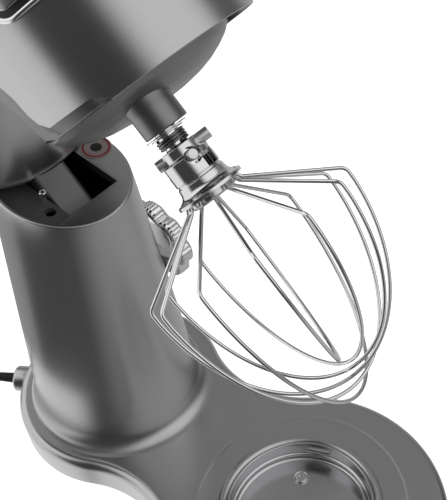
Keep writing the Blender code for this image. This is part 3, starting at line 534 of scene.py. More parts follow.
def make_base():
    """The base's outer shell, with the shallow ring step and the round recess for the seat."""
    side = fillet([(4.0, BASE_BOTTOM, 0.0), (0.0, BASE_BOTTOM, 1.5), (0.0, 0.0, BASE_ROUND),
                   (14.0, 0.0, 0.0)], 10)
    rows = []
    for inset, height in side:
        rows.append([Vector((x, y, height)) for x, y in base_outline(inset)])
    data = skin(rows)
    data.verts.ensure_lookup_table()
    count = len(rows[0])
    rim = list(data.verts)[-count:]
    spokes = 128
    profile = [(GROOVE_R + 2.2, 0.0), (GROOVE_R + 1.2, -0.05), (GROOVE_R + 0.4, -GROOVE_DEPTH),
               (GROOVE_R - 0.4, -GROOVE_DEPTH), (GROOVE_R - 1.2, -0.05), (GROOVE_R - 2.2, 0.0),
               (CUP_R + 6.5, 0.0), (CUP_R + 5.6, 0.0)]
    profile += [(CUP_R + 3.2 + 2.4 * math.cos(math.radians(a)), -0.1 + 1.2 * math.sin(math.radians(a)))
                for a in (10.0, 40.0, 70.0, 100.0, 130.0, 160.0)]
    profile += [(CUP_R, -0.6), (CUP_R, -16.0), (CUP_R - 6.0, -17.0)]
    rings = []
    for radius, height in profile:
        rings.append([data.verts.new(point) for point in ring_points(radius, spokes, height)])
    for low, high in zip(rings, rings[1:]):
        for i in range(spokes):
            j = (i + 1) % spokes
            data.faces.new([low[i], low[j], high[j], high[i]])
    data.edges.ensure_lookup_table()
    loops = [edge for edge in data.edges if len(edge.link_faces) == 1
             and (set(edge.verts) <= set(rim) or set(edge.verts) <= set(rings[0]))]
    bmesh.ops.triangle_fill(data, edges=loops, use_beauty=True)
    base = piece("base_shell", data, "frame", None, 40.0, ["base_casting"])
    paint(base, PAINT)
    for number in range(1, 6):
        paint(NODES["rubber_foot_%d" % number], RUBBER)
    paint(NODES["base_bottom_cover"], BLACK)


LUG_FIRST, LUG_HALF, LUG_WALL_R = 114.0, 10.0, 47.9


def make_seat():
    """The bright cup in the recess: rolled rim, stepped wall, flat floor, three lugs and screws."""
    outline = fillet([(49.8, -0.8, 0.0), (49.6, 0.7, 0.7), (48.1, 0.7, 0.7), (47.7, -9.6, 0.6),
                      (46.5, -10.2, 0.6), (46.2, -13.9, 1.4), (44.4, -14.5, 0.8), (0.0, -14.5, 0.0)], 5)
    cup = piece("seat_cup", turned(outline, 160), "frame", None, 50.0, ["bowl_lock_plate"])
    paint(cup, CUP_STEEL)
    floor = turned(fillet([(44.3, -14.7, 0.0), (44.3, -14.3, 0.2), (0.0, -14.3, 0.0)], 3), 160)
    paint(piece("seat_floor", floor, "frame", None, 50.0), SPUN)
    for number in range(3):
        angle = LUG_FIRST + 120.0 * number
        rows = []
        for inward, drop in ((0.0, -2.0), (0.0, -5.2), (2.6, -5.2), (3.4, -4.4), (3.4, -2.8), (2.6, -2.0)):
            row = []
            for i in range(9):
                spread = LUG_HALF * (i / 4 - 1.0)
                shrink = 0.8 * (abs(spread) / LUG_HALF) ** 4
                radius = LUG_WALL_R - max(inward - shrink, 0.0)
                row.append(Vector((*polar(radius, angle + spread), drop)))
            rows.append(row)
        lug = skin(rows, close_rows=True, close_loop=False)
        bmesh.ops.holes_fill(lug, edges=[edge for edge in lug.edges if len(edge.link_faces) == 1])
        paint(piece("seat_lug_%d" % (number + 1), lug, "frame", None, 40.0), STEEL)
    for number in range(3):
        node = "seat_screw_%d" % (number + 1)
        low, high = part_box(node)
        middle = (low + high) / 2.0
        outline = fillet([(5.4, -0.3, 0.0), (5.4, 0.35, 0.3), (4.9, 0.35, 0.2), (4.2, 0.0, 0.0),
                          (4.1, 1.1, 0.7), (1.9, 1.3, 0.2), (1.7, -0.1, 0.0), (0.0, -0.2, 0.0)], 4)
        foot = PLACE.inverted() @ Vector((middle.x, middle.y, low.z))
        place = Matrix.Translation(foot + Vector((0.0, 0.0, 1.5)))
        screw = turned(outline, 48)
        paint(piece("countersunk_" + node, screw, "frame", place, 40.0, [node]), STEEL)


# ---- pillar ----
PILLAR_X, PILLAR_TOP, PILLAR_SLOPE = -174.0, 204.5, math.tan(math.radians(5.4))
TOP_A, TOP_B, FOOT_A, FOOT_B, FLARE = 46.0, 39.0, 61.0, 57.0, 11.0
SLOT_FRONT, SLOT_FAR, COVER_FAR = -145.0, 18.5, -15.2
LABEL_X, LABEL_Y = -174.4, 29.4


def pillar_top(x):
    return PILLAR_TOP - PILLAR_SLOPE * (x - PILLAR_X)


def pillar_oval(share, inset, drop=0.0, flare=0.0, count=160):
    """An oval of the pillar: share 0 at the foot, 1 at the sloping rim."""
    half_x = FOOT_A + (TOP_A - FOOT_A) * share - inset
    half_y = FOOT_B + (TOP_B - FOOT_B) * share - inset
    points = []
    for i in range(count):
        across, along = polar(1.0, 360.0 * i / count)
        spread = flare * FLARE * (0.62 + 0.38 * across)
        x = PILLAR_X + (half_x + spread) * across
        points.append(Vector((x, (half_y + spread) * along, pillar_top(x) * share - drop)))
    return points


def top_block(x=-260.0, y=-80.0):
    """A block round the pillar's top, ahead of x and on the far side of y."""
    return box((x, y, 150.0), (-80.0, 80.0, 260.0))


def make_pillar():
    """The hollow pillar with a slot in its top, the dark cover in the slot, and the round label."""
    rows = [pillar_oval(0.0, 0.0, 1.0, 1.06)]
    for i in range(9):
        turn = math.radians(90.0 * i / 8)
        rows.append(pillar_oval(0.058 * (1.0 - math.cos(turn)), 0.0, 0.0, 1.0 - math.sin(turn)))
    rows += [pillar_oval(share, 0.0) for share in (0.1, 0.25, 0.45, 0.65, 0.85, 0.95)]
    for i in range(7):
        turn = math.radians(90.0 * i / 6)
        rows.append(pillar_oval(1.0, 1.5 * (1.0 - math.cos(turn)), 1.5 * (1.0 - math.sin(turn))))
    shell = piece("pillar_shell", skin(rows, caps=(True, True)), "frame", None, 40.0,
                  ["pillar_casting", "pillar_top_plate"])
    inner = [pillar_oval(share, 4.0, -2.0 + share * 9.0) for share in (0.0, 0.5, 1.0)]
    carve(shell, skin(inner, caps=(True, True)))
    throat = [pillar_oval(1.0, 2.3, drop) for drop in (-8.0, 9.0)]
    cutter = piece("throat", skin(throat, caps=(True, True)), "frame")
    carve(cutter, top_block(x=SLOT_FRONT))
    carve(cutter, top_block(y=SLOT_FAR))
    cut_with(shell, cutter, 30.0)
    paint(shell, PAINT_PILLAR)

    deck = [pillar_oval(1.0, inset, drop) for inset, drop in ((2.6, 9.0), (2.6, 6.2), (3.0, 5.8))]
    plate = piece("well_cover", skin(deck, caps=(True, True)), "frame", None, 35.0,
                  ["hinge_well_plate"])
    carve(plate, top_block(y=COVER_FAR))
    carve(plate, top_block(x=SLOT_FRONT - 4.5))
    hole = [(0.0, -20.0), (3.4, -20.0), (3.4, 20.0), (0.0, 20.0)]
    carve(plate, turned(hole, 48, "Z", (-160.5, -21.0, 197.0)))
    bevel(plate, 0.35)
    paint(plate, DECK)

    spot = Matrix.Translation((LABEL_X, LABEL_Y, pillar_top(LABEL_X) + 0.05))
    tilt = spot @ Matrix.Rotation(math.atan(PILLAR_SLOPE), 4, "Y")
    outline = fillet([(9.6, 0.0, 0.0), (9.6, 0.3, 0.15), (8.9, 0.3, 0.0), (0.0, 0.3, 0.0)])
    disc = piece("caution_label", turned(outline, 64), "frame", tilt, 60.0, ["caution_disc"])
    paint(disc, LABEL)
    for name, inner, outer, level, finish in (("label_ring", 7.3, 8.6, 0.36, LABEL_RING),
                                              ("label_spot", 0.0, 3.6, 0.35, BLACK)):
        outline = [(inner, 0.25), (outer, 0.25), (outer, level), (inner, level)]
        band = turned(outline, 64, closed=inner > 0.0)
        paint(piece(name, band, "frame", tilt, 30.0), finish)


# ---- hinge ----
BARREL_R, BARREL_NEAR, BARREL_FAR = 18.6, -14.0, 8.5
POST_FRONT, POST_REAR, POST_TOP = 17.0, -7.0, 92.0
STUD_FOOT = (-169.5, -17.0, 196.9)


def make_hinge():
    """Barrel and post as one casting: a keyhole outline with well-rounded faces."""
    rows = []
    sides = fillet([(8.0, BARREL_NEAR, 0.0), (0.0, BARREL_NEAR, 2.0), (0.0, BARREL_FAR, 8.5),
                    (9.5, BARREL_FAR, 0.0)], 9)
    for inset, across in sides:
        radius = BARREL_R - inset
        front, rear = POST_FRONT - inset, POST_REAR + inset
        start = math.degrees(math.acos(front / radius))
        end = math.degrees(math.acos(rear / radius))
        row = []
        for i in range(97):
            x, z = polar(radius, end + (start + 360.0 - end) * i / 96)
            row.append(PIVOT + Vector((x, across, z)))
        for i in range(12):
            row.append(PIVOT + Vector((front, across, 10.0 + (POST_TOP - 10.0) * i / 11)))
        for i in range(12):
            row.append(PIVOT + Vector((rear, across, POST_TOP - (POST_TOP - 20.0) * i / 11)))
        rows.append(row)
    arm = piece("hinge_casting", skin(rows, caps=(True, True)), "head", RAISE, 40.0, ["hinge_arm"])
    tail = box((PIVOT.x - 12.0, BARREL_NEAR + 4.0, PIVOT.z - 38.0),
               (PIVOT.x + 3.0, BARREL_FAR - 1.0, PIVOT.z - 12.0))
    # The tail is painted with the near-black enamel: painted shade.
    tail = paint(piece("hinge_tail", tail, "head", RAISE, 40.0), SHADE_ENAMEL)
    bevel(tail, 1.2)
    # The arm gets the darker, rougher copy of the grey enamel.
    paint(arm, HINGE_ENAMEL)
    stud = fillet([(1.3, 0.0, 0.0), (1.3, 5.2, 0.4), (2.5, 6.0, 1.0), (2.5, 9.0, 1.4), (0.0, 9.6, 0.0)])
    stud = turned(stud, 40, "Z", STUD_FOOT)
    paint(piece("detent_stud", stud, "frame", None, 40.0, ["detent_pin"]), CHROME)
    for name in ("hinge_pin", "lock_cam"):
        paint(NODES[name], STEEL)


def make_outlet():
    """The painted boss on the base's rear flank that the cord comes out of."""
    outline = fillet([(9.6, -4.0, 0.0), (9.5, 7.9, 3.4), (4.6, 7.9, 0.8), (4.3, -2.0, 0.0)], 6)
    boss = turned(outline, 64, "X")
    paint(piece("cord_boss", boss, "frame", CORD_EXIT, 40.0, ["cord_outlet"]), PAINT)


KNOB_MIDDLE = (-172.0, 0.0, 103.0)
KNOB_LOBES, KNOB_KNURLS = 8, 80


def make_lock_knob():
    """The bright knob on the pillar's far side: eight lobes, fine knurls, a hollow back, a flat cap."""
    outline = fillet([(0.0, 60.0, 0.0), (11.0, 60.0, 2.0), (19.0, 59.0, 4.0), (24.5, 54.4, 1.5),
                      (26.5, 52.5, 1.0), (29.6, 53.4, 1.2), (30.4, 56.0, 1.5), (30.4, 62.4, 1.6),
                      (27.6, 64.6, 1.4), (0.0, 65.0, 0.0)], 5)

    def wave(radius, angle):
        grip = ease(radius, 24.0, 29.0)
        notch = (0.5 - 0.5 * math.cos(math.radians(KNOB_LOBES * angle))) ** 2.4
        return grip * (0.28 * math.cos(math.radians(KNOB_KNURLS * angle)) - 4.2 * notch)

    knob = turned(outline, 240, "Y", KNOB_MIDDLE, wave=wave)
    paint(piece("scalloped_knob", knob, "lock", None, 28.0, ["lock_knob"]), CHROME)
    shaft = fillet([(0.0, 28.5, 0.0), (5.8, 28.5, 0.5), (5.8, 53.0, 0.0), (0.0, 53.0, 0.0)])
    shaft = turned(shaft, 48, "Y", KNOB_MIDDLE)
    paint(piece("knob_shaft", shaft, "lock", None, 40.0), STEEL)


# ---- head ----
HEAD_R, HEAD_FRONT, HEAD_REAR = 57.0, 15.0, -188.0
DRUM_EDGE, REAR_EDGE, SHOULDER, HEAD_TOP = 208.0, 262.0, 308.0, 345.0
LIP, LIP_TUCK, LIP_ROLL, LIP_WALL = 8.0, 3.4, 0.8, 5.5
# The shell's lower edge, and the upper edge of its turned-in lip, as corners (x, height) going back.
LOWER_EDGE = [(52.0, DRUM_EDGE), (2.0, 209.6), (-8.0, 212.4), (-11.0, 216.0), (-15.5, 224.0),
              (-18.0, 233.0), (-25.0, 239.0), (-42.0, 248.0), (-66.0, 257.5), (-95.0, REAR_EDGE)]
UPPER_EDGE = [(52.0, DRUM_EDGE + 0.3), (44.0, 213.8), (11.0, 215.4), (4.0, 220.0), (0.8, 226.0),
              (0.0, 235.0), (-4.0, 243.5), (-13.0, 257.0), (-30.0, 265.0), (-60.0, 268.5),
              (-90.0, REAR_EDGE + LIP)]


def along(corners, x):
    """Height at x on a line of corners that runs backwards."""
    for (x0, z0), (x1, z1) in zip(corners, corners[1:]):
        if x >= x1:
            return z0 + (z1 - z0) * min(max((x0 - x) / (x0 - x1), 0.0), 1.0)
    return corners[-1][1]


def edge_height(x):
    return along(LOWER_EDGE, x)


def lip_top(x):
    return along(UPPER_EDGE, x)


def head_plan():
    """(spine x, plan angle) pairs round the stadium, from the near side's rear, densest at the step."""
    side = []
    x = HEAD_REAR
    while x < HEAD_FRONT - 0.2:
        side.append(x)
        x += 0.7 if x > -24.0 else 3.0
    half = 90
    plan = [(x, -90.0) for x in side]
    plan += [(HEAD_FRONT, -90.0 + 180.0 * i / half) for i in range(half + 1)]
    plan += [(x, 90.0) for x in reversed(side)]
    plan += [(HEAD_REAR, 90.0 + 180.0 * i / half) for i in range(1, half)]
    return plan


def make_head():
    """The head's shell: a turned-in lip that follows the step, upright sides and a low crown."""
    plan = head_plan()
    rows = []

    def row(inward, height):
        """One ring of the shell, with its inset and its height as functions of x."""
        points = []
        for spine, angle in plan:
            x, y = polar(1.0, angle)
            at = spine + HEAD_R * x
            radius = HEAD_R - inward(at)
            points.append(Vector((spine + radius * x, radius * y, height(at))))
        rows.append(points)

    def tuck(x):
        return LIP_TUCK * min((lip_top(x) - edge_height(x)) / LIP, 1.0)

    row(lambda x: LIP_WALL, lambda x: edge_height(x) + 14.0)
    row(lambda x: LIP_WALL, lambda x: edge_height(x) + 3.0)
    row(lambda x: tuck(x) + 2.4, lambda x: edge_height(x) + 0.5)
    for i in range(7):
        turn = math.radians(180.0 * i / 6)
        row(lambda x: tuck(x) + LIP_ROLL + LIP_ROLL * math.cos(turn),
            lambda x: edge_height(x) + LIP_ROLL - LIP_ROLL * math.sin(turn))
    for share in (0.05, 0.4, 0.8, 0.97):
        row(lambda x: tuck(x) * (1.0 - share) + 0.25,
            lambda x: edge_height(x) + 0.9 + (lip_top(x) - edge_height(x) - 0.9) * share)
    row(lambda x: 0.0, lip_top)
    row(lambda x: 0.0, lambda x: lip_top(x) + 0.8)
    for share in (0.2, 0.5, 0.8, 0.97):
        row(lambda x: 0.0, lambda x: (lip_top(x) + 2.0) * (1.0 - share) + SHOULDER * share)
    for i in range(1, 17):
        turn = math.radians(90.0 * i / 16)
        scale = math.cos(turn) ** 0.85 if i < 16 else 0.0
        level = SHOULDER + (HEAD_TOP - SHOULDER) * math.sin(turn)
        points = []
        for spine, angle in plan:
            x, y = polar(HEAD_R * scale, angle)
            drop = 10.0 * ease(-(spine + x), 20.0, 240.0) * math.sin(turn)
            points.append(Vector((spine + x, y, level - drop)))
        rows.append(points)
    shell = piece("head_shell", skin(rows), "head", RAISE, 32.0, ["head_casing"])
    paint(shell, PAINT)
    # Faces of the lower lip take the darker copy of the enamel: painted shade.
    shell.data.materials.append(LIP_SHADE_ENAMEL)
    back = (PLACE @ RAISE).inverted()
    for face in shell.data.polygons:
        spot = back @ face.center
        if spot.x < 50.0 and spot.z < lip_top(spot.x) - 0.2:
            face.material_index = 1
    paint(NODES["head_floor"], BLACK)
    # The gear case is painted near black: painted shade.
    paint(NODES["gear_case"], SHADE_ENAMEL)


def drum_point(radius, angle, height):
    x, y = polar(radius, angle)
    return Vector((HEAD_FRONT + x, y, height))


def make_panel():
    """The control panel round the drum's near front: bright rim, dark groove, raised plate, dial."""
    center, half, bottom, top = -40.0, 34.5, 257.5, 304.0
    corner, count = 11.0, 12
    reach = math.radians(half) * HEAD_R

    def frame_row(inset, radius):
        """A rounded rectangle laid round the drum at a radius, inset from the panel's outer edge."""
        points = []
        wide, tall = reach - inset, (top - bottom) / 2.0 - inset
        bend = max(corner - inset, 1.0)
        middle = (top + bottom) / 2.0
        corners = ((wide - bend, tall - bend, 0.0), (-wide + bend, tall - bend, 90.0),
                   (-wide + bend, -tall + bend, 180.0), (wide - bend, -tall + bend, 270.0))
        for u, v, start in corners:
            for i in range(count + 1):
                a, b = polar(bend, start + 90.0 * i / count)
                points.append((u + a, v + b))
        full = []
        for i, (u, v) in enumerate(points):
            nu, nv = points[(i + 1) % len(points)]
            steps = 16 if math.hypot(nu - u, nv - v) > 6.0 else 1
            for k in range(steps):
                a, b = u + (nu - u) * k / steps, v + (nv - v) * k / steps
                full.append(drum_point(radius, center + math.degrees(a / HEAD_R), middle + b))
        return full

    rim = [frame_row(-1.5, HEAD_R - 0.4)]
    for i in range(9):
        a = math.radians(180.0 * i / 8)
        rim.append(frame_row(-0.1 - 1.4 * math.cos(a), HEAD_R + 0.5 + 1.3 * math.sin(a)))
    rim.append(frame_row(1.4, HEAD_R - 0.6))
    paint(piece("panel_rim", skin(rim), "head", RAISE, 50.0, ["dial_panel"]), CHROME)
    # The groove between rim and plate is a flat black strip: painted shade.
    groove = [frame_row(1.3, HEAD_R + 0.12), frame_row(4.6, HEAD_R + 0.12)]
    paint(piece("panel_groove", skin(groove), "head", RAISE, 50.0), BLACK)
    plate = [frame_row(4.2, HEAD_R - 0.2), frame_row(4.2, HEAD_R + 1.3), frame_row(4.5, HEAD_R + 1.7),
             frame_row(5.2, HEAD_R + 1.9), frame_row(8.0, HEAD_R + 1.9), frame_row(14.0, HEAD_R + 1.9)]
    face = skin(plate, caps=(False, True))
    paint(piece("panel_plate", face, "head", RAISE, 50.0), PAINT)
    x, y = polar(HEAD_R, center)
    spot = Vector((HEAD_FRONT + x, y, 283.0))
    turn = RAISE @ Matrix.Translation(spot) @ spin(center)
    outline = fillet([(21.0, -2.0, 0.0), (21.0, 4.6, 1.2), (19.4, 6.4, 1.2), (15.0, 6.4, 1.0),
                      (13.0, 5.6, 1.0), (0.0, 5.9, 0.0)], 5)

    def knurl(radius, angle):
        return -0.35 * ease(radius, 19.0, 20.6) * abs(math.cos(math.radians(18.0 * angle)))

    grip = turned(outline, 180, "X", wave=knurl)
    paint(piece("dial_grip", grip, "dial", turn, 40.0, ["speed_dial"]), PAINT)
    mark = box((6.2, -0.7, 8.0), (6.75, 0.7, 17.5))
    paint(piece("dial_mark", mark, "dial", turn, 40.0), NYLON)
    paint(NODES["dial_socket"], BLACK)


NECK_X, NECK_R, NECK_RIM, NECK_WALL = -230.0, 52.4, 207.0, 0.8


def make_neck():
    """The round skirt under the head's rear; its rolled rim is level when the head is raised."""
    outline = [(NECK_R - 3.2, 6.0), (NECK_R - 3.0, 1.2)]
    for i in range(9):
        a, b = polar(1.25, 180.0 + 180.0 * i / 8)
        outline.append((NECK_R - 1.35 + a, 1.25 + b))
    outline += [(NECK_R - 0.5, 2.2), (NECK_R - 0.9, 5.0), (NECK_R - 1.3, 10.0), (NECK_R - 1.7, 18.0),
                (NECK_R - 1.9, 30.0), (NECK_R - 2.1, 45.0), (NECK_R - 2.6, 60.0), (NECK_R - 3.2, 80.0),
                (NECK_R - 4.0, 100.0)]
    data = turned(outline, 200, "Z", (NECK_X, 0.0, NECK_RIM))
    bmesh.ops.transform(data, matrix=LOWER, verts=data.verts)
    whole = data.verts[:] + data.edges[:] + data.faces[:]
    bmesh.ops.bisect_plane(data, geom=whole, plane_co=(0.0, 0.0, REAR_EDGE + 4.0), plane_no=(0.0, 0.0, 1.0),
                           clear_outer=True)
    skirt = piece("neck_skirt_shell", data, "head", RAISE, 45.0, ["neck_skirt"])
    thick = skirt.modifiers.new("wall", "SOLIDIFY")
    thick.thickness = NECK_WALL * MM
    thick.offset = 0.0
    paint(skirt, PAINT)


# ---- planetary ----
DOME_R, DOME_LOW = 50.9, 196.6
ECCENTRIC, ECCENTRIC_ANGLE = 27.45, -39.4
SHAFT_X, SHAFT_Y = polar(ECCENTRIC, ECCENTRIC_ANGLE)
SHAFT = Matrix.Translation((SHAFT_X, SHAFT_Y, 0.0))
FLANGE = 151.0
WHISK_FIRST, WHISK_WIRES, WHISK_R = -31.4, 6, 57.0
WHISK_SHOULDER = 28.94
CROSS_ANGLE = WHISK_FIRST + 90.0
POCKET_ANGLE, WINDOW_ANGLE = -12.0, 20.0
BOSS_SHIFT = (0.8, 1.1, 0.0)


def make_planetary():
    """The dome under the head with its off-centre boss, and the finishes of the drive's own nodes."""
    outline = fillet([(49.2, 213.5, 0.0), (49.6, 211.6, 0.6), (DOME_R, 210.9, 0.5), (DOME_R, 209.9, 0.8),
                      (47.0, 206.2, 14.0), (41.0, 203.0, 18.0), (34.0, 200.2, 22.0), (26.0, 198.2, 26.0),
                      (16.0, DOME_LOW + 0.3, 20.0), (0.0, DOME_LOW, 0.0)], 6)
    dome = piece("dome", turned(outline, 192), "planetary", RAISE, 50.0, ["planet_carrier"])
    # Dome and boss take the darker copy of the enamel: painted shade.
    paint(dome, DOME_SHADE_ENAMEL)
    boss = fillet([(12.4, 203.0, 0.0), (12.0, 199.6, 2.0), (11.5, 197.0, 2.0), (11.5, 185.6, 0.8),
                   (8.0, 185.6, 0.4), (8.0, 195.0, 0.0)], 5)
    place = RAISE @ SHAFT @ Matrix.Translation(BOSS_SHIFT)
    paint(piece("boss", turned(boss, 96), "planetary", place, 40.0), DOME_SHADE_ENAMEL)
    for name in ("center_shaft", "main_gear", "ring_gear", "planet_gear", "center_bearing",
                 "layshaft_pinion", "motor_bearing_rear", "motor_bearing_front"):
        paint(NODES[name], STEEL)
    for name in ("worm_wheel", "cooling_fan"):
        paint(NODES[name], NYLON)
    paint(NODES["motor_stator"], IRON)
    paint(NODES["motor_rotor"], COPPER)


def make_shaft():
    """The shaft with its cross pin, the thrust washer, and the spring with its seat."""
    place = RAISE @ SHAFT
    outline = fillet([(0.0, 192.0, 0.0), (5.6, 192.0, 0.0), (5.6, 177.0, 0.3), (6.3, 176.4, 0.3),
                      (6.3, 155.6, 0.6), (0.0, 155.0, 0.0)])
    shaft = turned(outline, 64)
    paint(piece("drive_shaft", shaft, "agitator", place, 40.0, ["agitator_shaft"]), CHROME)
    pin = fillet([(0.0, -13.4, 0.0), (2.9, -13.4, 0.5), (2.9, 15.8, 0.5), (0.0, 15.8, 0.0)], 4)
    across = place @ Matrix.Translation((0.0, 0.0, 173.4)) @ spin(CROSS_ANGLE)
    paint(piece("cross_pin", turned(pin, 40, "X"), "agitator", across, 40.0), SATIN)
    for name, radius, low, high, replaced in (("washer", 10.9, 184.4, 185.0, ["thrust_washer"]),
                                              ("spring_seat", 8.6, 183.4, 184.1, [])):
        ring = turned(fillet([(5.8, low, 0.0), (5.8, high, 0.0), (radius, high, 0.15),
                              (radius, low, 0.15), (5.8, low, 0.0)]), 64)
        paint(piece(name, ring, "agitator", place, 40.0, replaced), STEEL)
    path = []
    turns, steps = 3.6, 40
    for i in range(int(turns * steps) + 1):
        x, y = polar(6.9, 360.0 * i / steps)
        path.append(Vector((x, y, 177.6 + 5.2 * i / (turns * steps))))
    spring = piece("spring_coils", tube(path, 0.7, 10), "agitator", place, 40.0, ["hub_spring"])
    paint(spring, DARK_STEEL)


def make_hub():
    """The whisk's hub with its slot, pocket and ribbed window, and the plate and rivets of its flange."""
    place = RAISE @ SHAFT
    bore = 6.6
    outline = fillet([(7.9, 176.4, 0.0), (9.4, 176.4, 0.5), (9.6, 171.6, 0.5), (12.2, 170.6, 0.6),
                      (12.2, 161.0, 0.5), (11.7, 160.5, 0.2), (11.7, 159.8, 0.2), (12.3, 159.2, 0.4),
                      (13.0, 154.6, 4.0), (17.0, 152.9, 1.0), (17.5, 152.7, 0.2), (17.5, 151.0, 0.2),
                      (bore, 151.0, 0.0), (bore, 172.2, 0.0), (7.9, 172.2, 0.0)], 5)
    hub = piece("whisk_hub_body", turned(outline, 128, closed=True), "whisk", place, 40.0,
                ["whisk_hub", "whisk_end_plug"])
    carve(hub, box((-30.0, -3.1, 166.2), (30.0, 3.1, 190.0)), place @ spin(CROSS_ANGLE))
    pocket = place @ spin(POCKET_ANGLE)
    window = place @ spin(WINDOW_ANGLE)
    octagon = [(0.0, 0.0), (4.5, 0.0), (4.5, 30.0), (0.0, 30.0)]
    carve(hub, turned(octagon, 8, "X", (0.0, 0.0, 169.4)), pocket)
    carve(hub, box((5.0, -3.9, 160.9), (30.0, 3.9, 167.9)), window)
    bevel(hub, 0.25, 2, 50.0)
    paint(hub, HUB_STEEL)
    stud = fillet([(0.0, 6.0, 0.0), (2.8, 6.0, 0.0), (2.8, 12.2, 0.7), (0.0, 12.5, 0.0)])
    stud = turned(stud, 32, "X", (0.0, 0.0, 169.7))
    paint(piece("lock_stud", stud, "whisk", pocket, 40.0), SATIN)
    for i in range(3):
        rib = box((7.4, -3.2 + 2.4 * i, 160.7), (9.8, -2.1 + 2.4 * i, 166.1))
        paint(piece("window_rib_%d" % (i + 1), rib, "whisk", window, 40.0), DARK_STEEL)
    plug = fillet([(0.0, 147.6, 0.0), (11.6, 147.6, 0.4), (12.2, 148.6, 0.5), (12.2, FLANGE, 0.0)], 4)
    paint(piece("whisk_closing_plate", turned(plug, 96), "whisk", place, 40.0), STEEL)
    for i in range(12):
        x, y = polar(15.3, WHISK_FIRST + 15.0 + 30.0 * i)
        rivet = fillet([(1.0, 152.6, 0.0), (1.0, 153.5, 0.35), (0.0, 153.8, 0.0)], 3)
        spot = place @ Matrix.Translation((x, y, 0.0))
        paint(piece("flange_rivet_%d" % (i + 1), turned(rivet, 20), "whisk", spot, 40.0), STEEL)


def wire_line(number):
    """One loop in its plane: a straight leg out to the shoulder, half an oval, and back."""
    shoulder = FLANGE - WHISK_SHOULDER
    depth = 100.2 + 4.02 * number - WHISK_SHOULDER
    leg = fillet([(13.8, FLANGE - 0.4, 0.0), (15.4, FLANGE - 3.2, 2.0), (WHISK_R, shoulder, 4.5),
                  (WHISK_R - 0.4, shoulder - 6.0, 0.0)], 7)
    half = leg[:-1]
    for i in range(5, 91, 3):
        a = math.radians(i)
        half.append((WHISK_R * math.cos(a), shoulder - depth * math.sin(a)))
    half.append((0.0, shoulder - depth))
    return half + [(-a, b) for a, b in reversed(half[:-1])]


def make_whisk():
    for number in range(WHISK_WIRES):
        angle = WHISK_FIRST + 180.0 / WHISK_WIRES * number
        path = [Vector((*polar(out, angle), height)) for out, height in wire_line(number)]
        across = Vector((-math.sin(math.radians(angle)), math.cos(math.radians(angle)), 0.0))
        loop = tube(path, 1.0, 14, across)
        wire = piece("wire_loop_%d" % (number + 1), loop, "whisk", RAISE @ SHAFT, 60.0,
                     ["whisk_wire_%d" % (number + 1)])
        paint(wire, WIRE)


make_base()
make_seat()
make_pillar()
make_hinge()
make_outlet()
make_lock_knob()
make_head()
make_panel()
make_neck()
make_planetary()
make_shaft()
make_hub()
make_whisk()


# ---- stage and light ----
def glowing(name, tone, roughness, strength):
    """A plain material for the stage that gives some light of its own."""
    made = bpy.data.materials.new(name)
    made.use_nodes = True
    shader = made.node_tree.nodes["Principled BSDF"]
    shader.inputs["Base Color"].default_value = (tone, tone, tone, 1.0)
    shader.inputs["Roughness"].default_value = roughness
    shader.inputs["Emission Color"].default_value = (1.0, 1.0, 1.0, 1.0)
    shader.inputs["Emission Strength"].default_value = strength
    return made


def make_stage():
    """A plain pale floor."""
    data = bmesh.new()
    bmesh.ops.create_grid(data, x_segments=1, y_segments=1, size=6.0)
    mesh = bpy.data.meshes.new("floor")
    data.to_mesh(mesh)
    data.free()
    floor = add_object("floor", mesh)
    floor.location = (0.0, 0.0, -0.0002)
    floor.visible_glossy = False
    mesh.materials.append(glowing("pale_floor", 0.80, 0.8, 0.85))


CARD_R, CARD_LOW, CARD_HIGH = 84.0, 22.0, 168.0


def make_reflector(start, end, strength):
    """A dim studio card curved round the pillar from a start to an end angle, seen in gloss alone."""
    lower, upper = [], []
    for i in range(25):
        x, y = polar(CARD_R, start + (end - start) * i / 24)
        lower.append(Vector((PILLAR_X + x, y, CARD_LOW)))
        upper.append(Vector((PILLAR_X + x, y, CARD_HIGH)))
    card = add_object("reflector", placed_mesh("reflector", skin([lower, upper], close_loop=False)))
    card.visible_camera = False
    card.visible_diffuse = False
    card.visible_shadow = False
    card.visible_transmission = False
    card.data.materials.append(glowing("reflector_card", 0.0, 1.0, strength))


def toward(azimuth, elevation):
    x, y = polar(1.0, azimuth)
    level = math.cos(math.radians(elevation))
    return Vector((x * level, y * level, math.sin(math.radians(elevation))))


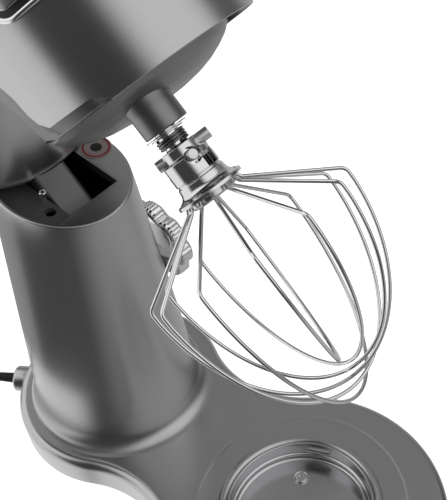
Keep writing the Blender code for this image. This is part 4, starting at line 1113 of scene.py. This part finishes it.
SOFT_GLOWS = [  # azimuth, elevation, full to this angle, gone by this angle, strength
    (-150.0, -28.0, 36.0, 58.0, 0.95),
    (-152.0, 34.0, 28.0, 52.0, 1.00),
    (15.0, 50.0, 20.0, 52.0, 0.95),
    (20.0, -42.0, 15.0, 66.0, 0.46),
    (128.0, -35.0, 20.0, 70.0, 0.52),
    (125.0, 50.0, 20.0, 65.0, 0.28),
]
FILL = 0.055
BOX_SIZE, BOX_DISTANCE, BOX_AIM = (0.5, 0.9), 2.0, Vector((0.1, 0.0, 0.2))


def make_world():
    """A dim studio with large soft glows round it; where two meet, the brighter one shows."""
    world = bpy.data.worlds.new("studio")
    bpy.context.scene.world = world
    world.use_nodes = True
    tree = world.node_tree
    background = tree.nodes["Background"]
    heading = tree.nodes.new("ShaderNodeTexCoord").outputs["Generated"]
    total = None
    for azimuth, elevation, inner, outer, strength in SOFT_GLOWS:
        dot = tree.nodes.new("ShaderNodeVectorMath")
        dot.operation = "DOT_PRODUCT"
        dot.inputs[1].default_value = toward(azimuth, elevation)
        tree.links.new(heading, dot.inputs[0])
        glow = tree.nodes.new("ShaderNodeMapRange")
        glow.interpolation_type = "SMOOTHSTEP"
        glow.inputs["From Min"].default_value = math.cos(math.radians(outer))
        glow.inputs["From Max"].default_value = math.cos(math.radians(inner))
        glow.inputs["To Min"].default_value = FILL
        glow.inputs["To Max"].default_value = strength
        tree.links.new(dot.outputs["Value"], glow.inputs["Value"])
        brighter = tree.nodes.new("ShaderNodeMath")
        brighter.operation = "MAXIMUM"
        brighter.inputs[1].default_value = FILL
        if total:
            tree.links.new(total, brighter.inputs[1])
        tree.links.new(glow.outputs["Result"], brighter.inputs[0])
        total = brighter.outputs["Value"]
    tree.links.new(total, background.inputs["Strength"])
    background.inputs["Color"].default_value = (1.0, 1.0, 1.0, 1.0)


def soft_box(name, azimuth, elevation, power):
    data = bpy.data.lights.new(name, "AREA")
    data.shape = "RECTANGLE"
    data.size, data.size_y = BOX_SIZE
    data.energy = power
    light = add_object(name, data)
    heading = toward(azimuth, elevation)
    light.location = heading * BOX_DISTANCE + BOX_AIM
    light.rotation_euler = heading.to_track_quat("Z", "Y").to_euler()
    light.visible_glossy = False


make_stage()
make_reflector(-205.0, -116.0, 0.38)
make_reflector(-116.0, -54.0, 0.09)
make_world()
soft_box("right_box", 12.0, 50.0, 2.0)
soft_box("left_box", -150.0, 22.0, 3.0)
bpy.context.scene.view_settings.view_transform = "Standard"
